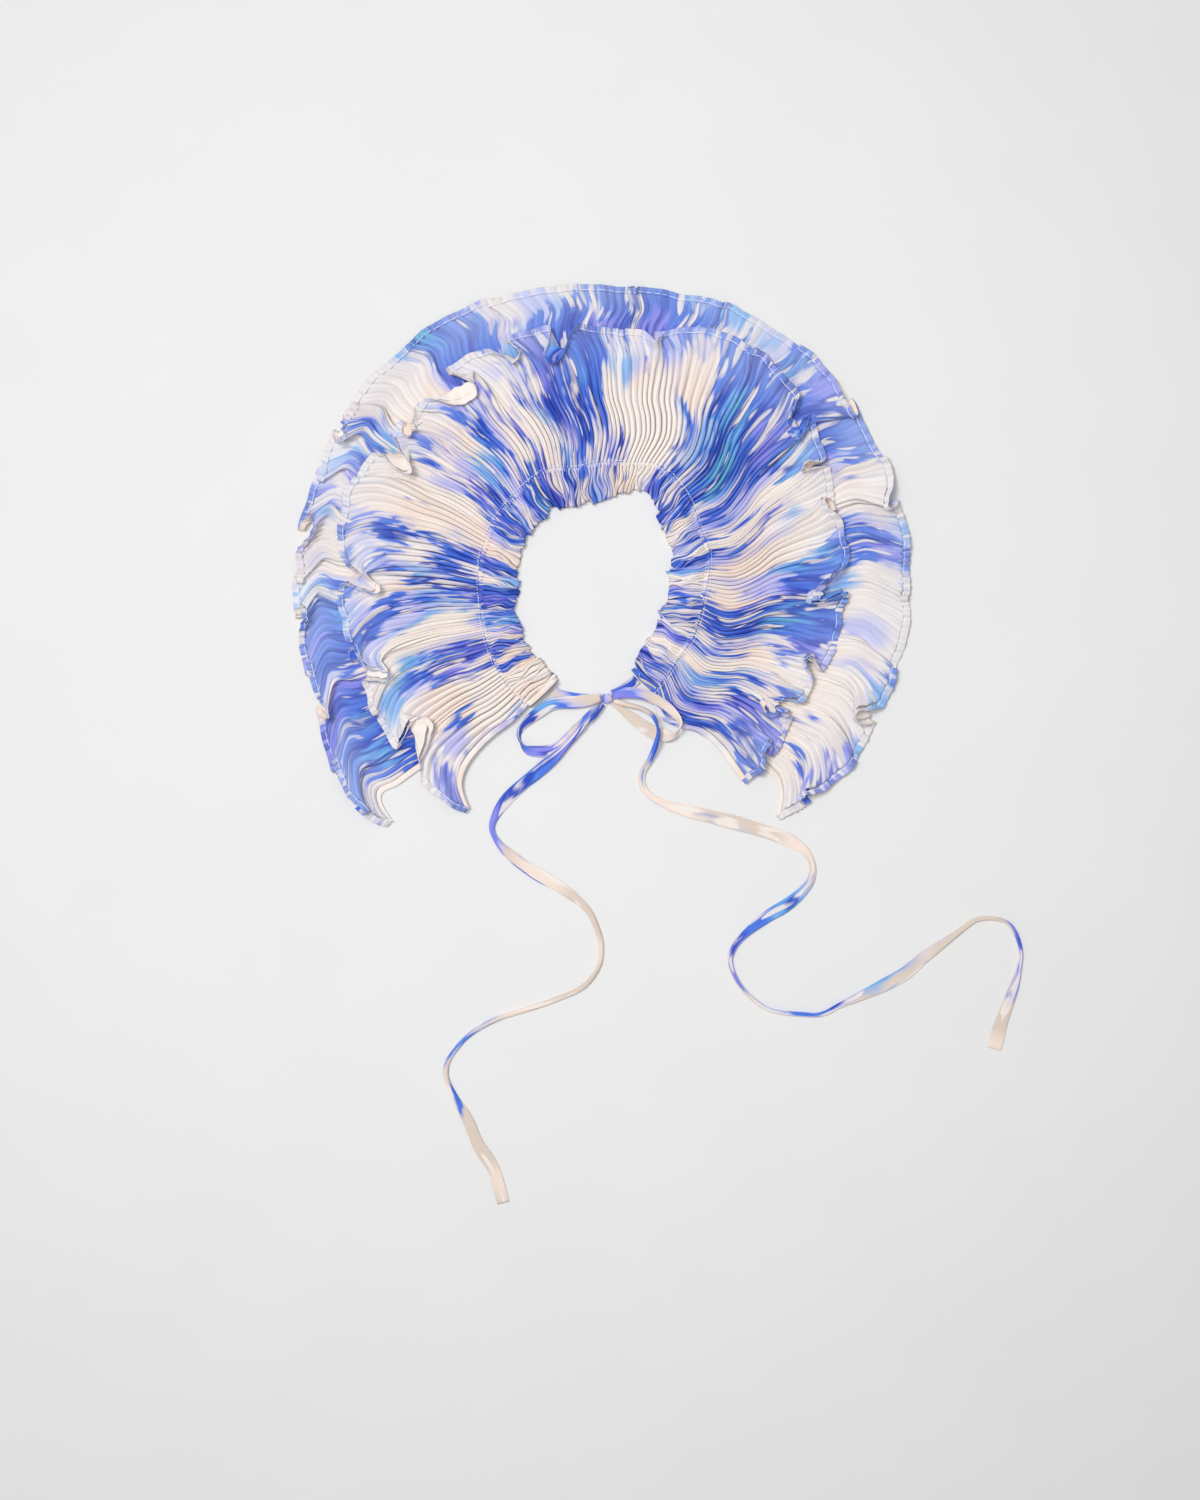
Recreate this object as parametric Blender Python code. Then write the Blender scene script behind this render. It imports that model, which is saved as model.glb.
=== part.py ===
"""A pleated ruffle collar laid flat: two tiers on a gathered drawstring casing, tied in a bow.

Seen from above, the back of the neck is towards +Y, the bow is towards -Y, and the floor is z = 0.
Sizes in the tables are millimetres and degrees. An angle is measured clockwise from the back of
the neck, around the middle of the neck opening.
"""
import math

import bmesh
import bpy
from mathutils import Vector

MM = 0.001              # one millimetre in metres

SEAM_GAP = 0.3          # clearance between pieces that are sewn together
WALL = 1.5              # height of the pleated wall, measured straight up
HEM_WIDTH = 4.6         # narrow turned hem along the outer edge of each tier
HEM_EXTRA = 0.4         # the turned hem is this much thicker than the tier
EDGE_WIDTH = 4.0        # narrow turned edge down each side of the front opening
EDGE_HEIGHT = 2.2
TIE_WIDTH = 8.4         # flat tube tie
TIE_THICKNESS = 1.4

UNDER_PLEATS = 60
UPPER_PLEATS = 68
CASING_GATHERS = 32
PLEAT_RISE_NECK = 2.4   # the accordion stands highest where it is gathered
PLEAT_RISE_HEM = 1.6
UNDER_BASE = 1.0        # thinnest part of the under tier, whose underside is flat on the floor
UPPER_LIFT = UNDER_BASE + PLEAT_RISE_NECK + SEAM_GAP

# Sections around the collar: angle, then the radius of the neck edge, of the stitch line at the
# outer side of the casing, of the upper tier's hem and of the under tier's hem.
SECTION_COLUMNS = ("angle", "neck", "stitch", "upper_hem", "under_hem")
SECTIONS = (
    (-156, 72, 98, 181, 216),
    (-144, 68, 96, 187, 218),
    (-132, 67, 93, 185, 231),
    (-120, 64, 89, 182, 224),
    (-108, 63, 86, 183, 216),
    (-96, 58, 84, 182, 214),
    (-84, 59, 85, 184, 214),
    (-72, 61, 86, 189, 216),
    (-60, 62, 87, 186, 217),
    (-48, 63, 87, 182, 217),
    (-36, 63, 88, 187, 219),
    (-24, 62, 89, 188, 217),
    (-12, 59, 84, 185, 214),
    (0, 61, 86, 183, 213),
    (12, 67, 88, 184, 214),
    (24, 73, 93, 195, 216),
    (36, 66, 90, 198, 218),
    (48, 59, 85, 192, 220),
    (60, 56, 80, 183, 217),
    (72, 53, 79, 175, 217),
    (84, 48, 75, 176, 216),
    (96, 47, 72, 170, 216),
    (108, 45, 72, 167, 215),
    (120, 46, 73, 164, 216),
    (132, 48, 73, 168, 213),
    (144, 51, 77, 172, 207),
    (156, 58, 82, 172, 207),
    (168, 66, 86, 172, 207),
)

# Front edges: how far out from the inner side of the piece, and the angle of its left and right end.
EDGE_COLUMNS = ("reach", "left", "right")
CASING_ENDS = (
    (0.0, -155.4, 159.7),
    (1.0, -149.5, 154.0),
)
UPPER_ENDS = (
    (0.0, -148.5, 154.5),
    (0.2, -146.7, 156.0),
    (0.35, -144.6, 151.5),
    (0.5, -143.4, 146.0),
    (0.7, -143.3, 144.0),
    (0.85, -145.0, 144.0),
    (1.0, -149.3, 144.1),
)
UNDER_ENDS = (
    (0.0, -148.0, 153.0),
    (0.3, -143.0, 148.0),
    (0.6, -136.0, 140.0),
    (0.8, -134.3, 137.8),
    (0.9, -133.6, 139.4),
    (1.0, -138.6, 142.7),
)

# Ruffle waves: the angle where a fold stands up out of the hem, its half width and its height.
WAVE_COLUMNS = ("angle", "half_width", "height")
UPPER_WAVES = (
    (-143.0, 9, 6),
    (-131.5, 8, 7),
    (-121.5, 7, 5),
    (-113.5, 9, 6),
    (-104.5, 8, 7),
    (-90.5, 9, 6),
    (-70.5, 9, 6),
    (-56.0, 9, 7),
    (-47.0, 8, 5),
    (-36.5, 9, 7),
    (-15.5, 12, 6),
    (4.0, 10, 5),
    (12.0, 7, 6),
    (31.0, 9, 5),
    (47.0, 11, 7),
    (61.0, 9, 5),
    (72.5, 9, 6),
    (95.0, 10, 6),
    (108.5, 8, 6),
    (119.5, 8, 6),
    (129.5, 8, 5),
    (137.5, 8, 6),
)
UNDER_WAVES = (
    (-130.5, 9, 6),
    (-122.0, 8, 5),
    (-111.0, 8, 6),
    (-102.0, 8, 5),
    (-90.0, 8, 5),
    (-81.5, 8, 5),
    (-69.0, 9, 6),
    (-60.5, 8, 5),
    (-53.5, 8, 5),
    (-45.0, 9, 6),
    (39.0, 10, 5),
    (52.0, 9, 6),
    (62.0, 9, 6),
    (78.0, 9, 6),
    (101.5, 9, 6),
    (112.5, 8, 5),
    (120.5, 8, 5),
    (131.0, 9, 6),
)

# Routes of the drawstring's free parts, which meet in the knot. A row is a place across, along
# and up. A tail's height is how far its underside is off the floor: it lies on the floor but for
# the hump where it crosses its bow's loop.
KNOT_CENTRE = (3.2, -100.5)
KNOT_SIZE = (9.0, 8.0, 6.4)
KNOT_SUNK = 0.36        # share of the knot's height between its middle and the floor
TAIL_LEFT = (
    (0.2, -104.6, 2.1), (-5.5, -112.5, 2.0), (-13.5, -120.5, 2.0), (-23.0, -131.0, 2.0),
    (-35.0, -142.8, 2.0), (-47.5, -153.5, 0.9), (-57.0, -161.5, 0.1), (-66.5, -170.5, 0.0),
    (-74.0, -181.0, 0.0), (-77.3, -191.0, 0.0), (-73.0, -201.0, 0.0), (-62.5, -211.5, 0.0),
    (-48.5, -221.5, 0.0), (-33.0, -230.5, 0.0), (-20.0, -239.5, 0.0), (-10.0, -249.0, 0.0),
    (-4.5, -259.5, 0.0), (-1.0, -273.0, 0.0), (-3.0, -288.5, 0.0), (-13.5, -302.0, 0.0),
    (-34.0, -311.5, 0.0), (-55.0, -318.5, 0.0), (-74.5, -325.0, 0.0), (-94.0, -336.5, 0.0),
    (-107.0, -352.0, 0.0), (-109.5, -364.0, 0.0), (-103.5, -379.5, 0.0), (-95.0, -394.0, 0.0),
    (-87.0, -412.5, 0.0), (-76.0, -430.5, 0.0), (-69.5, -453.5, 0.0),
)
TAIL_RIGHT = (
    (8.2, -102.0, 2.3), (17.0, -104.6, 3.0), (27.5, -107.5, 4.6), (35.5, -113.5, 6.6),
    (38.9, -123.2, 6.8), (37.5, -131.8, 5.8), (33.3, -142.8, 2.2), (28.5, -151.0, 0.4),
    (27.2, -157.5, 0.0), (29.5, -164.5, 0.0), (37.0, -171.0, 0.0), (51.5, -177.1, 0.0),
    (71.0, -182.0, 0.0), (90.7, -186.9, 0.0), (110.3, -192.5, 0.0), (128.5, -198.8, 0.0),
    (141.1, -206.5, 0.0), (146.7, -216.3, 0.0), (146.0, -226.8, 0.0), (139.6, -235.9, 0.0),
    (129.9, -244.3, 0.0), (115.2, -253.4, 0.0), (100.5, -264.6, 0.0), (92.0, -274.4, 0.0),
    (89.3, -284.2, 0.0), (93.5, -296.8, 0.0), (103.3, -309.0, 0.0), (117.3, -318.5, 0.0),
    (138.3, -321.3, 0.0), (153.0, -321.3, 0.0), (166.3, -315.0, 0.0), (177.5, -310.1, 0.0),
    (194.3, -302.4, 0.0), (211.1, -293.3, 0.0), (225.1, -281.4, 0.0), (238.4, -271.6, 0.0),
    (252.4, -261.1, 0.0), (260.8, -255.5, 0.0), (271.3, -254.1, 0.0), (282.5, -256.9, 0.0),
    (288.8, -264.6, 0.0), (292.3, -277.2, 0.0), (291.6, -287.7, 0.0), (288.1, -301.7, 0.0),
    (282.5, -317.1, 0.0), (277.6, -332.5, 0.0), (274.1, -345.8, 0.0),
)
# Share of the full width that a tail shows, by the distance along it from the knot.
WIDTH_COLUMNS = ("distance", "share")
TAIL_LEFT_WIDTHS = (
    (0, 0.45), (35, 0.5), (52, 1.0), (97, 1.0), (122, 0.5), (147, 1.0), (182, 1.0), (200, 0.65),
    (224, 0.5), (391, 0.5), (415, 0.8), (440, 1.0), (490, 1.0),
)
TAIL_RIGHT_WIDTHS = (
    (0, 0.45), (95, 0.5), (125, 1.0), (195, 1.0), (219, 0.5), (248, 1.0), (270, 1.0), (302, 0.5),
    (409, 0.5), (440, 1.0), (477, 1.0), (511, 0.5), (577, 0.5), (608, 1.0), (640, 1.0),
)
# The loops and the stubs also have the height of the tie's middle and the share of its width.
ROUTE_COLUMNS = ("across", "along", "height", "share")
LOOP_LEFT = (
    (-1.4, -100.7, 4.0, 0.5), (-9.0, -101.6, 4.0, 0.8), (-18.0, -102.9, 3.8, 1.0),
    (-34.7, -104.2, 3.0, 1.0), (-45.2, -110.6, 2.4, 1.0), (-53.6, -117.9, 1.8, 0.9),
    (-58.1, -124.5, 1.4, 0.7), (-57.4, -131.6, 1.0, 0.9), (-52.0, -136.6, 0.8, 1.0),
    (-43.0, -137.6, 0.8, 1.0), (-34.7, -136.2, 0.8, 1.0), (-25.6, -129.6, 0.8, 0.7),
    (-17.2, -120.2, 0.8, 0.5), (-9.9, -111.7, 0.8, 0.45), (-0.4, -103.6, 0.8, 0.4),
)
LOOP_RIGHT = (
    (7.5, -99.5, 4.3, 0.45), (15.8, -96.6, 6.2, 0.8), (27.0, -97.3, 8.6, 1.0),
    (37.5, -101.5, 8.9, 1.0), (48.0, -109.2, 8.9, 0.9), (54.3, -118.0, 8.8, 0.8),
    (50.5, -125.4, 7.0, 0.9), (41.5, -126.0, 3.6, 1.0), (30.0, -121.0, 2.4, 1.0),
    (19.5, -113.0, 1.2, 0.7), (12.5, -107.8, 0.8, 0.5), (6.9, -103.9, 0.8, 0.4),
)
STUB_LEFT = (
    (-34.8, -94.5, 1.4, 0.8), (-31.4, -97.4, 1.4, 0.8), (-20.0, -99.0, 1.4, 0.6),
    (-10.5, -99.4, 1.5, 0.5), (-1.5, -99.2, 1.6, 0.4),
)
STUB_RIGHT = (
    (24.1, -86.9, 1.4, 1.0), (20.6, -90.0, 1.4, 0.9), (13.5, -94.2, 1.4, 0.6),
    (6.7, -97.3, 1.4, 0.4),
)
ROUTE_STEP = 12.0       # spacing of the points on a tail
LOOP_STEP = 7.0

# Linear colours of the cloth.
COLOURS = {
    "cream": (0.86, 0.77, 0.68),
    "periwinkle": (0.30, 0.32, 0.80),
    "sky": (0.22, 0.48, 0.83),
    "cobalt": (0.06, 0.14, 0.58),
}
CLOTH_ROUGHNESS = 0.85


def smooth_value(rows, columns, wanted, x):
    """Cubic curve through one column of a table whose first column rises from row to row."""
    pick = columns.index(wanted)
    last = len(rows) - 1
    x = min(max(x, rows[0][0]), rows[last][0])
    i = 0
    while i < last - 1 and x > rows[i + 1][0]:
        i += 1

    def slope(k):
        before, after = rows[max(k - 1, 0)], rows[min(k + 1, last)]
        return (after[pick] - before[pick]) / (after[0] - before[0])

    span = rows[i + 1][0] - rows[i][0]
    t = (x - rows[i][0]) / span
    start, end = rows[i][pick], rows[i + 1][pick]
    rise_start, rise_end = slope(i) * span, slope(i + 1) * span
    return (start * (2 * t ** 3 - 3 * t ** 2 + 1) + rise_start * (t ** 3 - 2 * t ** 2 + t)
            + end * (3 * t ** 2 - 2 * t ** 3) + rise_end * (t ** 3 - t ** 2))


def radius(name, angle):
    return smooth_value(SECTIONS, SECTION_COLUMNS, name, angle)


def on_circle(angle, distance):
    """Place in the plane of a point at an angle and a distance from the middle of the neck."""
    turn = math.radians(angle)
    return distance * math.sin(turn), distance * math.cos(turn)


def ease(x):
    """Rises smoothly from 0 to 1."""
    x = min(max(x, 0.0), 1.0)
    return x * x * (3 - 2 * x)


class Ring:
    """A horseshoe of cloth between two sections, with its ends, its pleats and its waves."""

    def __init__(self, inner, outer, ends, pleats, waves, wave_start):
        self.inner, self.outer = inner, outer
        self.ends, self.pleats = ends, pleats
        self.waves, self.wave_start = waves, wave_start

    def place(self, along, reach):
        """Angle and distance of a point, along the ring and out from its inner side, 0 to 1."""
        left = smooth_value(self.ends, EDGE_COLUMNS, "left", reach)
        right = smooth_value(self.ends, EDGE_COLUMNS, "right", reach)
        angle = left + (right - left) * along
        near, far = radius(self.inner, angle), radius(self.outer, angle)
        return angle, near + (far - near) * reach

    def reach_of(self, angle, distance):
        near, far = radius(self.inner, angle), radius(self.outer, angle)
        return (distance - near) / (far - near)

    def wave(self, angle, distance):
        """How far the ruffle lifts the cloth at this place."""
        start = self.wave_start(angle)
        out = ease((distance - start) / (radius(self.outer, angle) - start))
        lift = 0.0
        for centre, half_width, height in self.waves:
            away = math.radians(angle - centre) * distance / half_width
            if abs(away) < 1.0:
                lift = max(lift, height * out * 0.5 * (1 + math.cos(math.pi * away)))
        return lift

    def pleat(self, column, reach):
        """Height of the accordion: every second column of points is a ridge."""
        rise = PLEAT_RISE_NECK + (PLEAT_RISE_HEM - PLEAT_RISE_NECK) * min(max(reach, 0.0), 1.0)
        return rise if column % 2 else 0.0


under = Ring("stitch", "under_hem", UNDER_ENDS, UNDER_PLEATS, UNDER_WAVES,
             lambda angle: radius("upper_hem", angle) + 1.5)
upper = Ring("stitch", "upper_hem", UPPER_ENDS, UPPER_PLEATS, UPPER_WAVES,
             lambda angle: 0.45 * radius("stitch", angle) + 0.55 * radius("upper_hem", angle))


def outline_middle():
    """Middle of the collar's outline, which is the origin."""
    across, along = [], []
    for step in range(721):
        x, y = on_circle(*under.place(step / 720, 1.0))
        across.append(x)
        along.append(y)
    for ring_end in (0.0, 1.0):
        x, y = on_circle(*under.place(ring_end, 0.9))
        along.append(y)
        across.append(x)
    return (min(across) + max(across)) / 2, (min(along) + max(along)) / 2


MIDDLE = outline_middle()


def world(angle, distance, height):
    x, y = on_circle(angle, distance)
    return Vector((x - MIDDLE[0], y - MIDDLE[1], height)) * MM


def new_object(name, mesh, colour):
    material = bpy.data.materials.get(colour)
    if material is None:
        material = bpy.data.materials.new(colour)
        material.use_nodes = True
        shader = material.node_tree.nodes["Principled BSDF"]
        shader.inputs["Base Color"].default_value = (*COLOURS[colour], 1.0)
        shader.inputs["Roughness"].default_value = CLOTH_ROUGHNESS
        shader.inputs["Metallic"].default_value = 0.0
    mesh.materials.append(material)
    made = bpy.data.objects.new(name, mesh)
    collar.objects.link(made)
    return made


def sheet_solid(name, columns, rows, top, bottom, colour):
    """A grid of columns by rows set out by top(column, row), closed with bottom(column, row)."""
    bm = bmesh.new()
    bmesh.ops.create_grid(bm, x_segments=columns, y_segments=rows, size=0.5)
    layer = bm.verts.layers.int.new("cell")
    for vert in bm.verts:
        column, row = round((vert.co.x + 0.5) * columns), round((vert.co.y + 0.5) * rows)
        vert[layer] = row * (columns + 1) + column
    lower = bmesh.ops.extrude_face_region(bm, geom=bm.faces[:], use_keep_orig=True)
    lower_verts = {item for item in lower["geom"] if isinstance(item, bmesh.types.BMVert)}
    for vert in bm.verts:
        row, column = divmod(vert[layer], columns + 1)
        vert.co = bottom(column, row) if vert in lower_verts else top(column, row)
    bmesh.ops.recalc_face_normals(bm, faces=bm.faces[:])
    bmesh.ops.triangulate(bm, faces=bm.faces[:])
    mesh = bpy.data.meshes.new(name)
    bm.to_mesh(mesh)
    bm.free()
    return new_object(name, mesh, colour)


ROW_REACH = (0.0, 0.22, 0.45, 0.7, 0.86, 1.0)   # rows of points from the casing to the hem


def tier(name, ring, lift, on_floor, tier_colour, trim_colour):
    """One pleated tier: its wall, its turned hem and its two front edges."""
    columns = 2 * ring.pleats
    side = EDGE_WIDTH + SEAM_GAP

    def wall_place(column, reach):
        """The wall stops short of the casing, of the hem and of both front edges."""
        angle, distance = ring.place(column / columns, reach)
        end_gap = math.degrees(side / distance)
        angle += end_gap * (1 - 2 * column / columns)
        near = radius(ring.inner, angle) + SEAM_GAP
        far = radius(ring.outer, angle) - HEM_WIDTH - SEAM_GAP
        return angle, near + (far - near) * reach

    def top_height(angle, distance, column):
        reach = ring.reach_of(angle, distance)
        wave = ring.wave(angle, distance)
        base = UNDER_BASE if on_floor else lift + WALL
        return base + ring.pleat(column, reach) + wave

    def floor_height(angle, distance, column):
        """The floor tier is flat below, but for its waves; the upper one follows its pleats."""
        if on_floor:
            return ring.wave(angle, distance)
        return top_height(angle, distance, column) - WALL

    def wall_top(column, row):
        angle, distance = wall_place(column, ROW_REACH[row])
        return world(angle, distance, top_height(angle, distance, column))

    def wall_bottom(column, row):
        angle, distance = wall_place(column, ROW_REACH[row])
        return world(angle, distance, floor_height(angle, distance, column))

    sheet_solid(f"{name}_tier", columns, len(ROW_REACH) - 1, wall_top, wall_bottom, tier_colour)

    def hem_place(column, row):
        """Columns 1 to columns + 1 carry on the wall's pleats; the first and last are corners."""
        if column in (0, columns + 2):
            angle = ring.place(0.0 if column == 0 else 1.0, 1.0)[0]
        else:
            angle = wall_place(column - 1, 1.0)[0]
        return angle, radius(ring.outer, angle) - HEM_WIDTH * (1 - row)

    def hem_column(column):
        return min(max(column - 1, 0), columns)

    def hem_top(column, row):
        angle, distance = hem_place(column, row)
        height = top_height(angle, distance, hem_column(column)) + HEM_EXTRA
        return world(angle, distance, height)

    def hem_bottom(column, row):
        angle, distance = hem_place(column, row)
        return world(angle, distance, floor_height(angle, distance, hem_column(column)))

    sheet_solid(f"{name}_hem", columns + 2, 1, hem_top, hem_bottom, trim_colour)

    for suffix, end in (("left", 0.0), ("right", 1.0)):
        def edge_place(column, row, end=end):
            reach = ROW_REACH[row]
            angle, distance = ring.place(end, reach)
            inward = column * math.degrees(EDGE_WIDTH / distance)
            angle += inward if end == 0.0 else -inward
            near = radius(ring.inner, angle) + SEAM_GAP
            far = radius(ring.outer, angle) - HEM_WIDTH - SEAM_GAP
            return angle, near + (far - near) * reach

        def edge_top(column, row, place=edge_place):
            angle, distance = place(column, row)
            return world(angle, distance, lift + EDGE_HEIGHT + ring.wave(angle, distance))

        def edge_bottom(column, row, place=edge_place):
            angle, distance = place(column, row)
            return world(angle, distance, lift + ring.wave(angle, distance))

        sheet_solid(f"{name}_front_edge_{suffix}", 1, len(ROW_REACH) - 1, edge_top, edge_bottom,
                    trim_colour)


# The casing in section: how far out from the neck edge, and the height of its valleys and ridges.
CASING_ROWS = ((0.0, 2.6, 4.6), (0.3, 4.6, 7.2), (0.65, 5.0, 7.6), (1.0, 4.2, 6.6))


def neck_casing():
    """The gathered channel around the neck, one rounded roll of both tiers' cloth."""
    columns = 2 * CASING_GATHERS
    ring = Ring("neck", "stitch", CASING_ENDS, CASING_GATHERS, (), None)

    def top(column, row):
        reach, valley, ridge = CASING_ROWS[row]
        angle, distance = ring.place(column / columns, reach)
        return world(angle, distance, ridge if column % 2 else valley)

    def bottom(column, row):
        angle, distance = ring.place(column / columns, CASING_ROWS[row][0])
        return world(angle, distance, 0.0)

    sheet_solid("neck_casing", columns, len(CASING_ROWS) - 1, top, bottom, "cream")


def along_route(points, step):
    """Points a step apart on a smooth curve through a route."""
    fine = []
    for i in range(len(points) - 1):
        before = points[max(i - 1, 0)]
        start, end = points[i], points[i + 1]
        after = points[min(i + 2, len(points) - 1)]
        for k in range(10):
            t = k / 10
            fine.append([0.5 * (2 * b + (c - a) * t + (2 * a - 5 * b + 4 * c - d) * t * t
                                + (3 * b - a - 3 * c + d) * t ** 3)
                         for a, b, c, d in zip(before, start, end, after)])
    fine.append(list(points[-1]))
    length = sum(math.dist(a[:3], b[:3]) for a, b in zip(fine, fine[1:]))
    pieces = max(round(length / step), 1)
    route, walked, wanted = [fine[0]], 0.0, length / pieces
    for a, b in zip(fine, fine[1:]):
        hop = math.dist(a[:3], b[:3])
        while hop > 0 and walked + hop >= wanted - 1e-9 and len(route) < pieces:
            share = (wanted - walked) / hop
            route.append([p + (q - p) * share for p, q in zip(a, b)])
            wanted += length / pieces
        walked += hop
    route.append(fine[-1])
    return route


def tie(name, route, colour):
    """A flat tube of cloth, lying on its broad side along a route."""
    curve = bpy.data.curves.new(name, "CURVE")
    curve.dimensions = "3D"
    curve.twist_mode = "Z_UP"
    curve.extrude = (TIE_WIDTH - TIE_THICKNESS) / 2 * MM
    curve.bevel_depth = TIE_THICKNESS / 2 * MM
    curve.bevel_resolution = 0
    curve.use_fill_caps = True
    spline = curve.splines.new("POLY")
    spline.points.add(len(route) - 1)
    for point, (x, y, z, share) in zip(spline.points, route):
        point.co = (x * MM, y * MM, z * MM, 1.0)
        point.radius = share
        point.tilt = math.radians(90)
    return new_object(name, curve, colour)


def tail_route(points, widths):
    """A tail's points, raised by half its thickness, with the share of its width at each."""
    route, walked = [], 0.0
    points = along_route(points, ROUTE_STEP)
    for i, (x, y, lift) in enumerate(points):
        walked += math.dist(points[i - 1], points[i]) if i else 0.0
        share = min(smooth_value(widths, WIDTH_COLUMNS, "share", walked), 1.0)
        route.append((x, y, max(lift, 0.0) + share * TIE_THICKNESS / 2, share))
    return route


def drawstring():
    """The knot and everything of the tie that is outside the casing."""
    bm = bmesh.new()
    bmesh.ops.create_icosphere(bm, subdivisions=2, radius=0.5)
    sunk = KNOT_SUNK * KNOT_SIZE[2]
    for vert in bm.verts:
        height = max(vert.co.z * KNOT_SIZE[2], -sunk) + sunk
        across = vert.co.x * KNOT_SIZE[0] + KNOT_CENTRE[0]
        along = vert.co.y * KNOT_SIZE[1] + KNOT_CENTRE[1]
        vert.co = Vector((across, along, height)) * MM
    mesh = bpy.data.meshes.new("tie_knot")
    bm.to_mesh(mesh)
    bm.free()
    new_object("tie_knot", mesh, "sky")
    tie("tie_tail_left", tail_route(TAIL_LEFT, TAIL_LEFT_WIDTHS), "periwinkle")
    tie("tie_tail_right", tail_route(TAIL_RIGHT, TAIL_RIGHT_WIDTHS), "periwinkle")
    tie("bow_loop_left", along_route(LOOP_LEFT, LOOP_STEP), "sky")
    tie("bow_loop_right", along_route(LOOP_RIGHT, LOOP_STEP), "cobalt")
    tie("tie_stub_left", along_route(STUB_LEFT, LOOP_STEP), "cream")
    tie("tie_stub_right", along_route(STUB_RIGHT, LOOP_STEP), "cobalt")


for leftover in list(bpy.data.objects):
    bpy.data.objects.remove(leftover)
collar = bpy.data.collections.new("pleated_collar")
bpy.context.scene.collection.children.link(collar)

neck_casing()
tier("under", under, 0.0, True, "cream", "cream")
tier("upper", upper, UPPER_LIFT, False, "periwinkle", "cream")
drawstring()
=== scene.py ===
# %% [markdown]
# This lesson dresses a two-tier pleated collar that lies flat on a table. The measured solids are
# loaded as they are, and every cloth piece made here lies where its solid lies. The real object is
# two strips of printed crepe, heat-set into fine accordion pleats, sewn into one channel and drawn
# up on a flat tie.

# %% Load the measured solids
import math
from itertools import zip_longest

import bmesh
import bpy
import numpy as np
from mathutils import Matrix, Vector


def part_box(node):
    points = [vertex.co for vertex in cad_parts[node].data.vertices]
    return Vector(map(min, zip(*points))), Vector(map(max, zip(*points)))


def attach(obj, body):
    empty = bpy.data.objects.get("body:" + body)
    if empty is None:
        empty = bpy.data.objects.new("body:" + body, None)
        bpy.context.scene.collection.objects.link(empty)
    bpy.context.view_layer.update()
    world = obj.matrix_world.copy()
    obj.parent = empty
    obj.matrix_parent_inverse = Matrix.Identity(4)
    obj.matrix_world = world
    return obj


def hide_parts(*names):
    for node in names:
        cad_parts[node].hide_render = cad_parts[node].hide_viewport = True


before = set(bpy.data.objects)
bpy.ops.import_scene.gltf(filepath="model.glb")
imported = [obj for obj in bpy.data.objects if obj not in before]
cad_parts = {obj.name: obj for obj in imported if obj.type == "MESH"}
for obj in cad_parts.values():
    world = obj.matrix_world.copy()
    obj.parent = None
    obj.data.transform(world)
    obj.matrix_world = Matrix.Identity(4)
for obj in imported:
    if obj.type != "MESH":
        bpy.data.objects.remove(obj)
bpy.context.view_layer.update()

MM = 0.001
startup_cube = bpy.data.objects.get("Cube")
if startup_cube is not None and startup_cube.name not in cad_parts:
    bpy.data.objects.remove(startup_cube)


def add_object(name, data):
    """A new object in the scene."""
    made = bpy.data.objects.new(name, data)
    bpy.context.scene.collection.objects.link(made)
    return made


def mesh_from(name, bm):
    """A new mesh with what a bmesh holds."""
    mesh = bpy.data.meshes.new(name)
    bm.to_mesh(mesh)
    bm.free()
    return mesh


# %% [markdown]
# The picture was taken from straight above, so the camera looks down with the back of the neck
# towards the top. A long lens keeps its edges from leaning outwards.

# %% Camera
PIXEL = 0.0007                   # metres of table for one pixel of the picture
PICTURE = (1200, 1500)
OUTLINE_MIDDLE = (602.5, 555.0)  # where the origin lies in the picture
LENS, SENSOR = 85.0, 36.0

camera_data = bpy.data.cameras.new("camera")
camera_data.lens = LENS
camera_data.sensor_width = SENSOR
camera = add_object("camera", camera_data)
camera.location = (
    (PICTURE[0] / 2 - OUTLINE_MIDDLE[0]) * PIXEL,
    (OUTLINE_MIDDLE[1] - PICTURE[1] / 2) * PIXEL,
    PICTURE[1] * PIXEL * LENS / SENSOR,
)
bpy.context.scene.camera = camera
print("camera height", round(camera.location.z, 3))

# %% [markdown]
# The light is soft and even, as from a large window with a bright room around it. A pale world
# fills the shadows and one large area lamp, up and to the left, gives the pleats their form. A
# spot lamp with a fully soft edge makes the table a little brighter in the middle.

# %% Light
ROOM_COLOUR, ROOM_STRENGTH = (0.97, 0.985, 1.0, 1.0), 0.36
WINDOW_PLACE, WINDOW_SIDE = (-2.7, 1.4, 7.2), 2.4
WINDOW_COLOUR, WINDOW_POWER = (1.0, 0.99, 0.975), 345.0
POOL_PLACE, POOL_ANGLE = (-0.09, 0.0, 3.2), 31.0
POOL_POWER, POOL_SOFTNESS = 90.0, 0.3

bpy.context.scene.view_settings.view_transform = "Standard"
world = bpy.data.worlds.new("room")
world.use_nodes = True
background = world.node_tree.nodes["Background"]
background.inputs["Color"].default_value = ROOM_COLOUR
background.inputs["Strength"].default_value = ROOM_STRENGTH
bpy.context.scene.world = world

panel = bpy.data.lights.new("window", "AREA")
panel.shape = "SQUARE"
panel.size = WINDOW_SIDE
panel.energy = WINDOW_POWER
panel.color = WINDOW_COLOUR
window = add_object("window", panel)
window.location = WINDOW_PLACE
window.rotation_euler = (-Vector(WINDOW_PLACE)).to_track_quat("-Z", "Y").to_euler()

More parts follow.
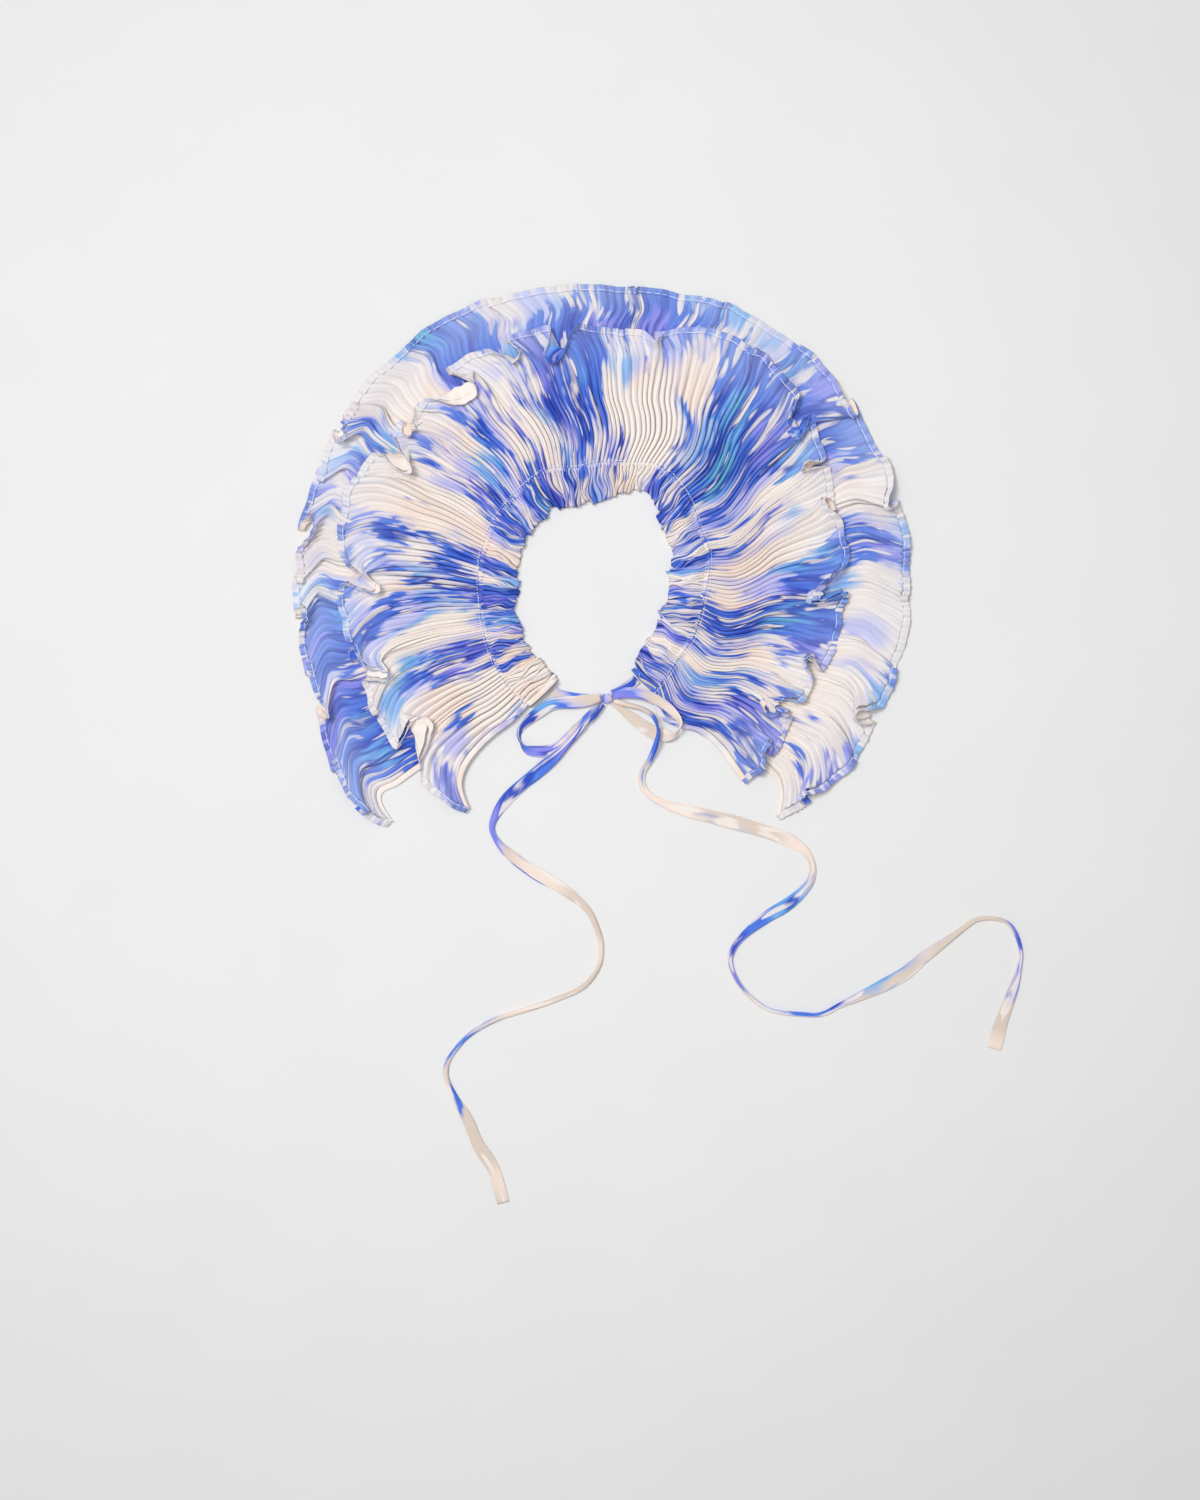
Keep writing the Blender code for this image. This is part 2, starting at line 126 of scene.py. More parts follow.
pool = bpy.data.lights.new("ceiling_pool", "SPOT")
pool.energy = POOL_POWER
pool.spot_size = math.radians(POOL_ANGLE)
pool.spot_blend = 1.0
pool.shadow_soft_size = POOL_SOFTNESS
ceiling = add_object("ceiling_pool", pool)
ceiling.location = POOL_PLACE
print("lamps", window.name, ceiling.name)


# %% Shader helper
class Signal:
    """One output of a shader node. Sums and products of signals add Math nodes."""

    def __init__(self, tree, socket=None):
        self.tree = tree
        self.socket = socket

    def make(self, kind, settings=None, inputs=None, output=0):
        """Any node: its type, its settings, and the values or signals of its sockets."""
        node = self.tree.nodes.new(kind)
        for key, value in (settings or {}).items():
            setattr(node, key, value)
        for key, value in (inputs or {}).items():
            if isinstance(value, Signal):
                self.tree.links.new(value.socket, node.inputs[key])
            else:
                node.inputs[key].default_value = value
        return Signal(self.tree, node.outputs[output])

    def math(self, operation, *values):
        """A Math node on these values or signals."""
        return self.make("ShaderNodeMath", {"operation": operation}, dict(enumerate(values)))

    def __add__(self, other):
        return self.math("ADD", self, other)

    def __sub__(self, other):
        return self.math("SUBTRACT", self, other)

    def __mul__(self, other):
        return self.math("MULTIPLY", self, other)

    def floor(self):
        """The whole number below."""
        return self.math("FLOOR", self)

    def ramp(self, low, high):
        """Rises smoothly from 0 at low to 1 at high."""
        settings = {"interpolation_type": "SMOOTHSTEP"}
        return self.make("ShaderNodeMapRange", settings, {"Value": self, 1: low, 2: high})

    def noise(self, detail=2.0, rough=0.5, scale=1.0):
        """Noise on this vector."""
        inputs = {"Vector": self, "Scale": scale, "Detail": detail, "Roughness": rough}
        return self.make("ShaderNodeTexNoise", None, inputs)

    def mix(self, first, second):
        """A colour between two, with this signal as the share of the second."""
        settings = {"data_type": "RGBA", "clamp_factor": True}
        return self.make("ShaderNodeMix", settings, {0: self, 6: first, 7: second}, output=2)


def new_material(name):
    """A material without a shader, and a signal from which its nodes are made."""
    material = bpy.data.materials.new(name)
    material.use_nodes = True
    tree = material.node_tree
    tree.nodes.remove(tree.nodes["Principled BSDF"])
    return material, Signal(tree)


def finish_material(material, start, inputs):
    """Give the material one shader, with these inputs."""
    shader = start.make("ShaderNodeBsdfPrincipled", None, inputs)
    output = material.node_tree.nodes["Material Output"]
    material.node_tree.links.new(shader.socket, output.inputs["Surface"])
    return material


# %% [markdown]
# The print is a loose brush design in blues on cream: soft airbrushed washes and hard-edged dabs.
# It was printed on the flat cloth, so it reads the cloth's own coordinates, which are kept in a UV
# map: how far along the strip and how far down it, in decimetres. Where the pleats close up, a dab
# is squeezed into streaks. The pleats are never quite in line, so each one shifts the design a
# little along its length, which gives the saw-tooth ends.

# %% The print, and painted shade in the creases
def colour(red, green, blue):
    """A colour as a screen shows it, from 0 to 255, made linear."""
    return tuple((value / 255) ** 2.2 for value in (red, green, blue)) + (1.0,)


CREAM = colour(244, 234, 227)
BLUSH = colour(243, 224, 212)
GREIGE = colour(226, 214, 212)
PERIWINKLE = colour(138, 138, 233)
LAVENDER = colour(190, 190, 240)
SKY = colour(108, 170, 236)
COBALT = colour(80, 120, 224)
DEEP_COBALT = colour(38, 66, 180)
TEAL = colour(98, 176, 212)
BEIGE = colour(218, 202, 189)
HAZE = colour(214, 229, 248)
# Painted shade for the pleat creases, multiplied into the print.
PAINTED_CREASE_SHADE = colour(92, 86, 112)
# A darker painted shade, for the creases of the gathered casing.
PAINTED_NAVY_SHADE = colour(60, 60, 96)


def cloth_material(name, pleat, stagger, seed, blue=0.0, hem_from=90.0, painted_shade_strength=0.0,
                   cream=CREAM, shade=PAINTED_CREASE_SHADE):
    """Printed crepe. pleat is one pleat of cloth and stagger the shift between two, in mm.

    blue adds to the share that is painted. hem_from, in decimetres down the cloth, is where it
    starts to look thinner, because only there is it one layer. painted_shade_strength is how
    strongly painted shade darkens the valleys and ridges, shade is the colour of that painted
    shade, and cream is the ground."""
    material, start = new_material(name)
    cloth = start.make("ShaderNodeUVMap", {"uv_map": "cloth"})
    split = {"kind": "ShaderNodeSeparateXYZ", "inputs": {"Vector": cloth}}
    along = start.make(**split, output=0)
    down = start.make(**split, output=1)

    def place(x, y, offset=0.0):
        """A place in the noise. Another offset gives another pattern."""
        return start.make("ShaderNodeCombineXYZ", None, {0: x, 1: y, 2: seed + offset})

    def jump(index, offset):
        """A random value between -0.5 and 0.5 for each whole number."""
        noise = start.make("ShaderNodeTexWhiteNoise", {"noise_dimensions": "1D"},
                           {"W": index + (seed + offset)})
        return noise - 0.5

    # Each face of a pleat is out of line, and each bundle of about three pleats.
    face = (along * (200.0 / pleat)).floor()
    bundle = (along * (31.0 / pleat)).floor()
    brush = place(along * 34.0, down * 2.2).noise(2.0, 0.6) - 0.5
    step = jump(face, 0.5) + jump(bundle, 7.5) * 0.5
    closed = down.ramp(0.55, 0.0) * 0.9 + 0.85
    shifted = down + step * closed * (stagger / 100.0) + brush * 0.12
    spread = along + jump(face, 3.5) * (0.006 * stagger / 9.0)

    # Patterns, from the broadest to the finest.
    region = place(along * 1.0, shifted * 0.42 + down * 0.16).noise(1.5)
    dabs = place(spread * 4.2, shifted * 3.3, 3.1).noise()
    streaks = place(spread * 15.0, shifted * 3.0, 5.7).noise(1.0)
    wash = place(along * 2.6, down * 1.4 + shifted * 0.4, 9.3).noise(1.0)
    hue = place(along * 1.7, shifted * 1.8, 12.9).noise(1.0)
    tint = place(along * 1.2, down * 1.6, 15.1).noise(1.0)

    # Bare ground, airbrushed halo, brushed mass, and strokes left bare.
    ground = tint.ramp(0.48, 0.62).mix(cream, BLUSH)
    thin = (down - hem_from).ramp(0.0, 0.22) * tint.ramp(0.62, 0.40)
    ground = thin.mix(ground, GREIGE)
    halo = (region + (wash - 0.5) * 0.9 + blue).ramp(0.47, 0.63)
    airbrush = hue.ramp(0.50, 0.60).mix(LAVENDER, SKY)
    painted = (halo * 0.9).mix(ground, airbrush)
    mass = region * 1.75 + dabs * 0.75 + (streaks - 0.5) * 0.45 + (blue - 0.24)
    soft = mass.ramp(0.98, 1.10)
    ink = hue.ramp(0.36, 0.46).mix(PERIWINKLE, COBALT)
    ink = (hue.ramp(0.56, 0.64) * wash.ramp(0.40, 0.52)).mix(ink, SKY)
    ink = hue.ramp(0.66, 0.72).mix(ink, TEAL)
    painted = (soft * 0.75).mix(painted, ink)
    painted = mass.ramp(1.055, 1.075).mix(painted, ink)
    deep = mass.ramp(1.09, 1.22) * streaks.ramp(0.40, 0.56)
    painted = (deep * 0.85).mix(painted, DEEP_COBALT)
    spared = streaks.ramp(0.56, 0.61) * dabs.ramp(0.62, 0.52)
    painted = (spared * 0.85).mix(painted, CREAM)
    paler = (down - hem_from).ramp(-0.25, 0.30) * (tint.ramp(0.35, 0.65) * 0.22 + 0.14)
    painted = paler.mix(painted, HAZE)
    # Painted shade in the valleys, fainter on the ridges, and faint where the pleats have opened.
    phase = start.math("PINGPONG", along * (100.0 / pleat), 0.5)
    shade_fading = (down - 0.3).ramp(0.0, 0.5) * -0.72 + 1.0
    groups = place(along * 6.0, down * 0.8, 18.3).noise(2.0, 0.6).ramp(0.34, 0.62) * 0.6 + 0.55
    crease = (phase.ramp(0.22, 0.03) * shade_fading + phase.ramp(0.40, 0.5) * 0.25) * (soft * 0.4 + 0.68)
    # The painted shade is multiplied into the colour of the print.
    creased = start.make("ShaderNodeMix", {"data_type": "RGBA", "blend_type": "MULTIPLY"}, {
        0: crease * painted_shade_strength * groups, 6: painted, 7: shade}, output=2)

    # The crepe's grain, and the slubs of its thread.
    crepe = place(along * 160.0, down * 160.0).noise(2.0, 0.6, 1.3)
    slub = place(along * 110.0, down * 6.0).noise()
    height = crepe * 0.6 + slub * 0.4
    bump_inputs = {"Strength": 0.35, "Distance": 0.00025, "Height": height}
    bump = start.make("ShaderNodeBump", None, bump_inputs)
    return finish_material(material, start, {
        "Base Color": creased,
        "Roughness": crepe.ramp(0.2, 0.8) * 0.14 + 0.70,
        "Normal": bump,
        "Sheen Weight": 0.15,
        "Sheen Roughness": 0.45,
        "Specular IOR Level": 0.25,
    })


PLEAT_CLOTH = 7.0      # cloth in one pleat, both faces, in mm
# Each piece takes its own strength of painted shade in the creases.
tier_print = cloth_material("printed_crepe_pleated", PLEAT_CLOTH, 16.0, 4.0, blue=0.03,
                            hem_from=0.72, painted_shade_strength=1.0)
under_print = cloth_material("printed_crepe_under_tier", PLEAT_CLOTH, 14.0, 21.0, blue=0.03,
                             hem_from=1.0, painted_shade_strength=0.7)
# The gathered casing takes the darker painted shade in its creases.
casing_print = cloth_material("printed_crepe_gathered", PLEAT_CLOTH, 16.0, 4.0, blue=0.03,
                              painted_shade_strength=1.0, shade=PAINTED_NAVY_SHADE)
tie_print = cloth_material("printed_crepe_tie", 9.0, 3.0, 33.0, blue=-0.10, cream=BEIGE)
knot_print = cloth_material("printed_crepe_knot", 9.0, 3.0, 33.0, blue=0.22, cream=BEIGE)
edge_print = cloth_material("printed_crepe_edges", 60.0, 0.0, 9.0, blue=-0.16)
plain_print = cloth_material("printed_crepe_cream_stretch", 60.0, 0.0, 9.0, blue=-0.35)
wrong_side_print = cloth_material("printed_crepe_wrong_side", PLEAT_CLOTH, 12.0, 4.0, blue=-0.06)


# %% Thread and table
def plain_material(name, tone, rough, grain, bump_height):
    """One colour, with a faint speckle that is also its bump."""
    material, start = new_material(name)
    place = start.make("ShaderNodeTexCoord", None, None, output=3)
    speckle = place.noise(scale=grain)
    bump_inputs = {"Strength": 0.3, "Distance": bump_height, "Height": speckle}
    return finish_material(material, start, {
        "Base Color": speckle.ramp(0.3, 0.7).mix(tone, tuple(0.988 * part for part in tone)),
        "Roughness": rough,
        "Normal": start.make("ShaderNodeBump", None, bump_inputs),
    })


thread_white = plain_material("white_thread", colour(232, 236, 250), 0.6, 4000.0, 0.0001)
table_paint = plain_material("pale_table", colour(232, 232, 232), 0.9, 12.0, 0.0001)

TABLE_SIDE = 6.0
TABLE_DROP = 0.0002     # the table lies this far below the solids, so that no faces coincide
bm = bmesh.new()
bmesh.ops.create_grid(bm, x_segments=1, y_segments=1, size=TABLE_SIDE / 2)
bmesh.ops.translate(bm, verts=bm.verts, vec=(0.0, 0.0, -TABLE_DROP))
table_mesh = mesh_from("table_top", bm)
table_mesh.materials.append(table_paint)
table_top = add_object("table_top", table_mesh)
print("table", TABLE_SIDE, "m wide")


# %% [markdown]
# Every cloth piece is a grid, made with one operator, whose points are then laid where the cloth
# lies. This keeps rows of points on the pleats, which a remesh or a simulation would lose. A
# Solidify modifier gives the cloth its thickness.

# %% A sheet of cloth from a grid
def laid_grid(name, points, cloth, wall, material, replaces=(), closed=False,
              wrong_side=None):
    """A piece of cloth. Its points and cloth coordinates are arrays of rows and columns, in mm.

    wall is its thickness in mm, and a closed tube has none."""
    rows, columns = points.shape[:2]
    bm = bmesh.new()
    bmesh.ops.create_grid(bm, x_segments=columns - 1, y_segments=rows - 1, size=1.0)
    mesh = mesh_from(name, bm)
    flat = np.empty(len(mesh.vertices) * 3)
    mesh.vertices.foreach_get("co", flat)
    flat = flat.reshape(-1, 3)
    column = np.rint((flat[:, 0] + 1) / 2 * (columns - 1)).astype(int)
    row = np.rint((flat[:, 1] + 1) / 2 * (rows - 1)).astype(int)
    mesh.vertices.foreach_set("co", (points[row, column] * MM).ravel())
    corner = np.empty(len(mesh.loops), dtype=np.int32)
    mesh.loops.foreach_get("vertex_index", corner)
    layer = mesh.uv_layers.new(name="cloth")
    layer.data.foreach_set("uv", (cloth[row, column][corner] / 100.0).ravel())
    if closed:
        bm = bmesh.new()
        bm.from_mesh(mesh)
        bmesh.ops.remove_doubles(bm, verts=bm.verts, dist=1e-6)
        rim = [edge for edge in bm.edges if edge.is_boundary]
        bmesh.ops.holes_fill(bm, edges=rim, sides=0)
        bmesh.ops.recalc_face_normals(bm, faces=bm.faces[:])
        bm.to_mesh(mesh)
        bm.free()
    mesh.update()
    mesh.shade_smooth()
    mesh.materials.append(material)
    made = add_object(name, mesh)
    if wall:
        solid = made.modifiers.new("cloth thickness", "SOLIDIFY")
        solid.thickness = wall * MM
        solid.offset = 0.0
        if wrong_side is not None:
            mesh.materials.append(wrong_side)
            solid.material_offset = 1
    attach(made, "root")
    if replaces:
        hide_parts(*replaces)
    return made


def ripple(seed, first, second=0.0, count=5):
    """A smooth wandering value between about -1 and 1, from a few sine waves."""
    random = np.random.default_rng(seed)
    total = 0.0
    for _ in range(count):
        turn, phase = random.uniform(0, 2 * math.pi, 2)
        pace = random.uniform(0.6, 1.7)
        total = total + np.sin(pace * (first * math.cos(turn) + second * math.sin(turn)) + phase)
    return total / count ** 0.5 / 1.2


def ease(x):
    """Rises smoothly from 0 at 0 to 1 at 1."""
    x = np.clip(x, 0.0, 1.0)
    return x * x * (3 - 2 * x)


def bell(away):
    """Falls smoothly from 1 in the middle to 0 at -1 and 1."""
    return np.where(np.abs(away) < 1, np.cos(np.pi / 2 * away) ** 2, 0.0)


def pairs(first, second):
    """Two arrays side by side, spread out to the same rows and columns."""
    return np.stack(np.broadcast_arrays(first, second), axis=-1)


def unit(rows):
    """Each row as a direction, one long."""
    return rows / np.linalg.norm(rows, axis=1, keepdims=True)


def walked_along(points):
    """How far along a line each of its points is."""
    return np.concatenate(((0.0,), np.cumsum(np.linalg.norm(np.diff(points, axis=0), axis=1))))


# %% [markdown]
# The outline is measured around the middle of the neck opening. A row gives the angle, clockwise
# from the back of the neck, and the radius of the neck edge, of the stitch line outside the
# casing, of the upper tier's hem and of the under tier's hem. A smooth curve joins the rows.

# %% Outline of the collar
SECTIONS = np.array((
    (-156, 72, 98, 181, 216), (-144, 68, 96, 187, 218),
    (-132, 67, 93, 185, 231), (-120, 64, 89, 182, 224),
    (-108, 63, 86, 183, 216), (-96, 58, 84, 182, 214),
    (-84, 59, 85, 184, 214), (-72, 61, 86, 189, 216),
    (-60, 62, 87, 186, 217), (-48, 63, 87, 182, 217),
    (-36, 63, 88, 187, 219), (-24, 62, 89, 188, 217),
    (-12, 59, 84, 185, 214), (0, 61, 86, 183, 213),
    (12, 67, 88, 184, 214), (24, 73, 93, 195, 216),
    (36, 66, 90, 198, 218), (48, 59, 85, 192, 220),
    (60, 56, 80, 183, 217), (72, 53, 79, 175, 217),
    (84, 48, 75, 176, 216), (96, 47, 72, 170, 216),
    (108, 45, 72, 167, 215), (120, 46, 73, 164, 216),
    (132, 48, 73, 168, 213), (144, 51, 77, 172, 207),
    (156, 58, 82, 172, 207), (168, 66, 86, 172, 207),
), dtype=float)
NECK, STITCH, UPPER_HEM, UNDER_HEM = 1, 2, 3, 4

# Front edges: how far out from the inner side, and the angle of the left and of the right end.
CASING_ENDS = np.array(((0.0, -155.4, 159.7), (1.0, -149.5, 154.0)))
UPPER_ENDS = np.array((
    (0.0, -148.5, 154.5), (0.2, -146.7, 156.0), (0.35, -144.6, 151.5), (0.5, -143.4, 146.0),
    (0.7, -143.3, 144.0), (0.85, -145.0, 144.0), (1.0, -149.3, 144.1),
))
UNDER_ENDS = np.array((
    (0.0, -148.0, 153.0), (0.3, -143.0, 148.0), (0.6, -136.0, 140.0), (0.8, -134.3, 137.8),
    (0.9, -133.6, 139.4), (1.0, -138.6, 142.7),
))
LEFT, RIGHT = 1, 2


def smooth_rows(table, pick, x):
    """Cubic curve through one column of a table, at any places x."""
    known, values = table[:, 0], table[:, pick]
    slopes = np.gradient(values, known)
    slopes[1:-1] = (values[2:] - values[:-2]) / (known[2:] - known[:-2])
    x = np.clip(x, known[0], known[-1])
    i = np.clip(np.searchsorted(known, x) - 1, 0, len(known) - 2)
    span = known[i + 1] - known[i]
    t = (x - known[i]) / span
    return (values[i] * (2 * t ** 3 - 3 * t ** 2 + 1) + slopes[i] * span * (t ** 3 - 2 * t ** 2 + t)
            + values[i + 1] * (3 * t ** 2 - 2 * t ** 3) + slopes[i + 1] * span * (t ** 3 - t ** 2))


hem_low, hem_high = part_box("under_hem")
hem_angles = np.radians(np.linspace(UNDER_ENDS[-1, LEFT], UNDER_ENDS[-1, RIGHT], 721))
hem_radii = smooth_rows(SECTIONS, UNDER_HEM, np.degrees(hem_angles))
hem_x = hem_radii * np.sin(hem_angles)
NECK_MIDDLE = np.array((
    (hem_low[0] + hem_high[0]) / 2 / MM - (np.min(hem_x) + np.max(hem_x)) / 2,
    hem_high[1] / MM - np.max(hem_radii * np.cos(hem_angles)),
))
print("middle of the neck opening, mm", NECK_MIDDLE.round(1))


def on_table(angle, distance, height):
    """Points from angles in degrees, distances from the middle of the neck, and heights."""
    turn = np.radians(angle)
    x = distance * np.sin(turn) + NECK_MIDDLE[0]
    y = distance * np.cos(turn) + NECK_MIDDLE[1]
    return np.stack(np.broadcast_arrays(x, y, height), axis=-1)


# %% [markdown]
# A tier is one strip of cloth. Near the neck its pleats are closed; towards the hem they open, and
# the hem has more cloth than room, so it rolls over itself at ruffle folds. The strip is walked
# from one front edge to the other at each row: where it rolls, its direction turns up and over,
# so the walk goes back on itself, and elsewhere it fans out. The fine pleats then stand on it.
# At some folds the hem also curls up and back, and shows the paler wrong side of the cloth.

# %% A pleated tier
HEM_WIDTH = 4.6
EDGE_WIDTH = 4.0
FACE = PLEAT_CLOTH / 2
CLOTH_WALL = 0.34
STEPS = 4               # points across one pleat
PLEAT_PROFILE = np.array((0.0, 0.62, 1.0, 0.62))
FOLD_CLOTH = 1.8        # cloth that a fold takes, for each mm of half its width
FOLD_RISE = 0.55        # how much of its full height a fold keeps, because it lies flat
CURL_RISE = 0.55
CURL_FROM = 0.8         # no curl starts nearer to the stitch line than this
WIDEST_OPENING = 0.93   # heat-set pleats never pull quite flat
EVENED = 16             # points over which the fanning of the pleats is evened out
CALM_EDGE = 9.0         # beside the front edges the pleats lie calmer, in mm


def smoothed(rows, reach_columns):
    """Rows of values, each blurred along itself, with both ends kept where they are."""
    width = int(3 * reach_columns)
    bell = np.exp(-0.5 * (np.arange(-width, width + 1) / reach_columns) ** 2)
    bell /= bell.sum()
    before = 2 * rows[:, :1] - rows[:, width:0:-1]
    after = 2 * rows[:, -1:] - rows[:, -2:-width - 2:-1]
    padded = np.concatenate((before, rows, after), axis=1)
    return np.stack([np.convolve(row, bell, mode="valid") for row in padded])


class Tier:
    """A strip of pleated cloth between the stitch line and its hem."""

    def __init__(self, hem, ends, folds, pleats, lift, seed, hidden=None):
        """hem is a column of SECTIONS, lift the height it lies at, and hidden a function of the
        tallest pleat that there is room for."""
        self.hem, self.ends, self.pleats, self.lift = hem, ends, pleats, lift
        self.seed, self.hidden = seed, hidden
        self.folds = np.array(folds, dtype=float)
        self.columns = pleats * STEPS + 1
        self.strip = pleats * PLEAT_CLOTH
        self.cloth = np.linspace(0.0, self.strip, self.columns)
        random = np.random.default_rng(seed)
        self.width = self.each_pleat(random.uniform(0.80, 1.20, pleats))
        self.height = self.each_pleat(random.uniform(0.70, 1.15, pleats))
        self.place_folds()
        self.target = None
        self.target = smoothed(self.walk(np.array([1.0]))[0], EVENED)

    def each_pleat(self, values):
        """One value for each pleat, repeated for its points."""
        return np.append(np.repeat(values, STEPS), values[-1])

    def place_folds(self):
        """Where on the strip each fold lies, so that it comes out at its angle at the hem."""
        left = self.ends[-1, LEFT]
        right = self.ends[-1, RIGHT]
        share = (self.folds[:, 0] - left) / (right - left)
        taken = FOLD_CLOTH * self.folds[:, 1]
        self.at = share * (self.strip - taken.sum()) + np.cumsum(taken) - taken / 2

    def walk(self, reach):
        """Section of the strip at each row: how far round it is, how high, how steep, and how
        open its pleats are. The folds grow towards the hem, and weight settles what they raise."""
        forward, backward, standing = np.zeros((3, len(reach), self.columns))
        for place, (_, half, lean, steep, start, _, _) in zip(self.at, self.folds):
            grown = np.clip((reach - start) / (1 - start), 0.0, 1.0) ** 1.5
            away = ((self.cloth - place) / half)[None, :]
            turn = math.radians(steep) * grown[:, None]
            if lean > 0:
                forward += turn * bell(away)
            elif lean < 0:
                backward += turn * bell(away)
            else:
                standing += turn * np.where(np.abs(away) < 1, -np.sin(np.pi * away), 0.0)
        open_out = ease(reach * 1.3)[:, None]
        fan = 1.0 + open_out * (0.30 * ripple(self.seed, self.cloth / 17.0)
                                + 0.16 * ripple(self.seed + 7, self.cloth / 5.5))[None, :]
        fan = fan * self.width[None, :]
        going = np.cos(forward + backward + np.abs(standing)) * fan
        across = np.concatenate((np.zeros((len(reach), 1)), np.cumsum(going, axis=1)[:, :-1]), axis=1)
        total = across[:, -1:]
        across = across / total
        opening = fan / total * (self.columns - 1)
        if self.target is not None:
            shift = self.target - smoothed(across, EVENED)
            across = across + shift
            opening = opening + np.gradient(shift, axis=1) * (self.columns - 1)
        step = self.strip / (self.columns - 1)
        settle = step / (6.0 + 10.0 * reach)
        height, other = np.zeros_like(across), np.zeros_like(across)
        for i in range(1, self.columns):
            rise = np.sin(forward[:, i]) + np.sin(standing[:, i])
            height[:, i] = height[:, i - 1] * (1 - settle) + rise * step * FOLD_RISE
        for i in range(self.columns - 2, -1, -1):
            other[:, i] = other[:, i + 1] * (1 - settle) + np.sin(backward[:, i]) * step * FOLD_RISE
        return across, height + other, forward - backward + standing, opening

    def curls(self, reach):
        """How steeply the cloth turns up and back towards the neck, and how it flops outwards."""
        curl = np.zeros((len(reach), self.columns))
        flop = np.zeros_like(curl)
        for place, (_, half, lean, _, _, turned, out) in zip(self.at, self.folds):
            away = (self.cloth - place - 1.1 * half * lean) / (2.1 * half)
            here = bell(away)[None, :]
            # The share of the depth that curls is different at each fold.
            length = (0.15 + 0.04 * math.sin(place)) * (0.45 + 0.55 * here)
            bend = np.clip((reach[:, None] - 1 + length) / (0.5 * length), 0, 1)
            curl += math.radians(turned) * here ** 0.7 * bend
            flop += out * here * ease((reach[:, None] - 0.6) / 0.4)
        return curl, flop

    def surface(self, reach, margin=0.0, extra=0.0):
        """Points of the strip. reach runs from the stitch line, 0, to the hem's inner side, 1,
        and a little more for what lies beyond either. margin keeps clear of the front edges,
        and extra raises the points off the cloth, in mm."""
        inside = np.clip(reach, 0.0, 1.0)
        across, height, slope, opening = self.walk(inside)
        left = smooth_rows(self.ends, LEFT, inside)
        right = smooth_rows(self.ends, RIGHT, inside)
        inner_angle = left[:, None] + (right - left)[:, None] * across
        near = smooth_rows(SECTIONS, STITCH, inner_angle)
        far = smooth_rows(SECTIONS, self.hem, inner_angle) - HEM_WIDTH
        curl, flop = self.curls(reach)
        rows = reach[:, None]
        # In fine steps: how far cloth that curls up falls short, and how high it comes.
        fine = np.linspace(CURL_FROM, reach[-1], 40)
        fine_curl = self.curls(fine)[0]
        piece = fine[1] - fine[0]
        lost = np.cumsum((1 - np.cos(fine_curl)) * piece, axis=0)
        gained = np.cumsum(np.sin(fine_curl) * piece, axis=0)
        index = np.clip((reach - CURL_FROM) / piece, 0, len(fine) - 1)
        low = np.floor(index).astype(int)
        high = np.minimum(low + 1, len(fine) - 1)
        part = (index - low)[:, None]
        lost = lost[low] * (1 - part) + lost[high] * part
        gained = gained[low] * (1 - part) + gained[high] * part
        distance = near + (far - near) * (rows - lost)
        side = np.degrees(margin / distance)
        angle = inner_angle + side * (1 - 2 * across)

        # The wider a pleat is pulled, the lower it stands.
        room = np.radians(right - left)[:, None] * distance
        squeeze = np.clip(room / self.strip * opening, 0.05, WIDEST_OPENING)
        tall = FACE * np.sqrt(1 - squeeze ** 2)
        uneven = self.height[None, :] * (1 + 0.2 * ripple(self.seed + 1, self.cloth / 9.0)[None, :])
        quiet = ease(np.minimum(self.cloth, self.strip - self.cloth) / CALM_EDGE)[None, :]
        tall = tall * uneven * (0.25 + 0.75 * quiet)
        if self.hidden is not None:
            tall = np.minimum(tall, self.hidden(reach)[:, None])
        count = np.arange(self.columns) % STEPS
        pleat = PLEAT_PROFILE[count][None, :] * tall

        # The pleats wander, lean where the cloth turns over, and tip back where it curls.
        flow = ripple(self.seed + 2, inner_angle / 7.0, rows * 1.8)
        flow = flow + 0.3 * ripple(self.seed + 6, inner_angle / 2.2, rows * 5.0)
        drift = flow * 0.5 * np.sin(np.pi * inside)[:, None] ** 0.8
        leaning = np.sin(slope) * (pleat + extra)
        lying = 0.40 * ripple(self.seed + 9, inner_angle / 11.0) * pleat
        angle = angle + np.degrees((drift * quiet - leaning + lying) / distance)
        over = (pleat + extra) * np.cos(slope)
        lifted = height + over * np.cos(curl) + (far - near) * gained * CURL_RISE
        roll = ease((reach - 0.6) / 0.4)[:, None] * quiet
        lifted = lifted + 0.7 * roll * (1 + ripple(self.seed + 3, inner_angle / 1.7))
        outward = flop - 0.30 * height + 1.5 * ripple(self.seed + 4, inner_angle / 3.4)
        outward = outward + 0.8 * ripple(self.seed + 8, inner_angle / 1.2)
        distance = distance + outward * ease((reach - 0.55) / 0.45)[:, None]
        distance = distance - over * np.sin(curl)
        return on_table(angle, distance, self.lift + np.maximum(lifted, 0.0))

    def depth(self):
        """Length of cloth from the stitch line to the hem's edge, in mm."""
        angles = SECTIONS[2:-2, 0]
        hem = smooth_rows(SECTIONS, self.hem, angles)
        return float(np.mean(hem - smooth_rows(SECTIONS, STITCH, angles)))


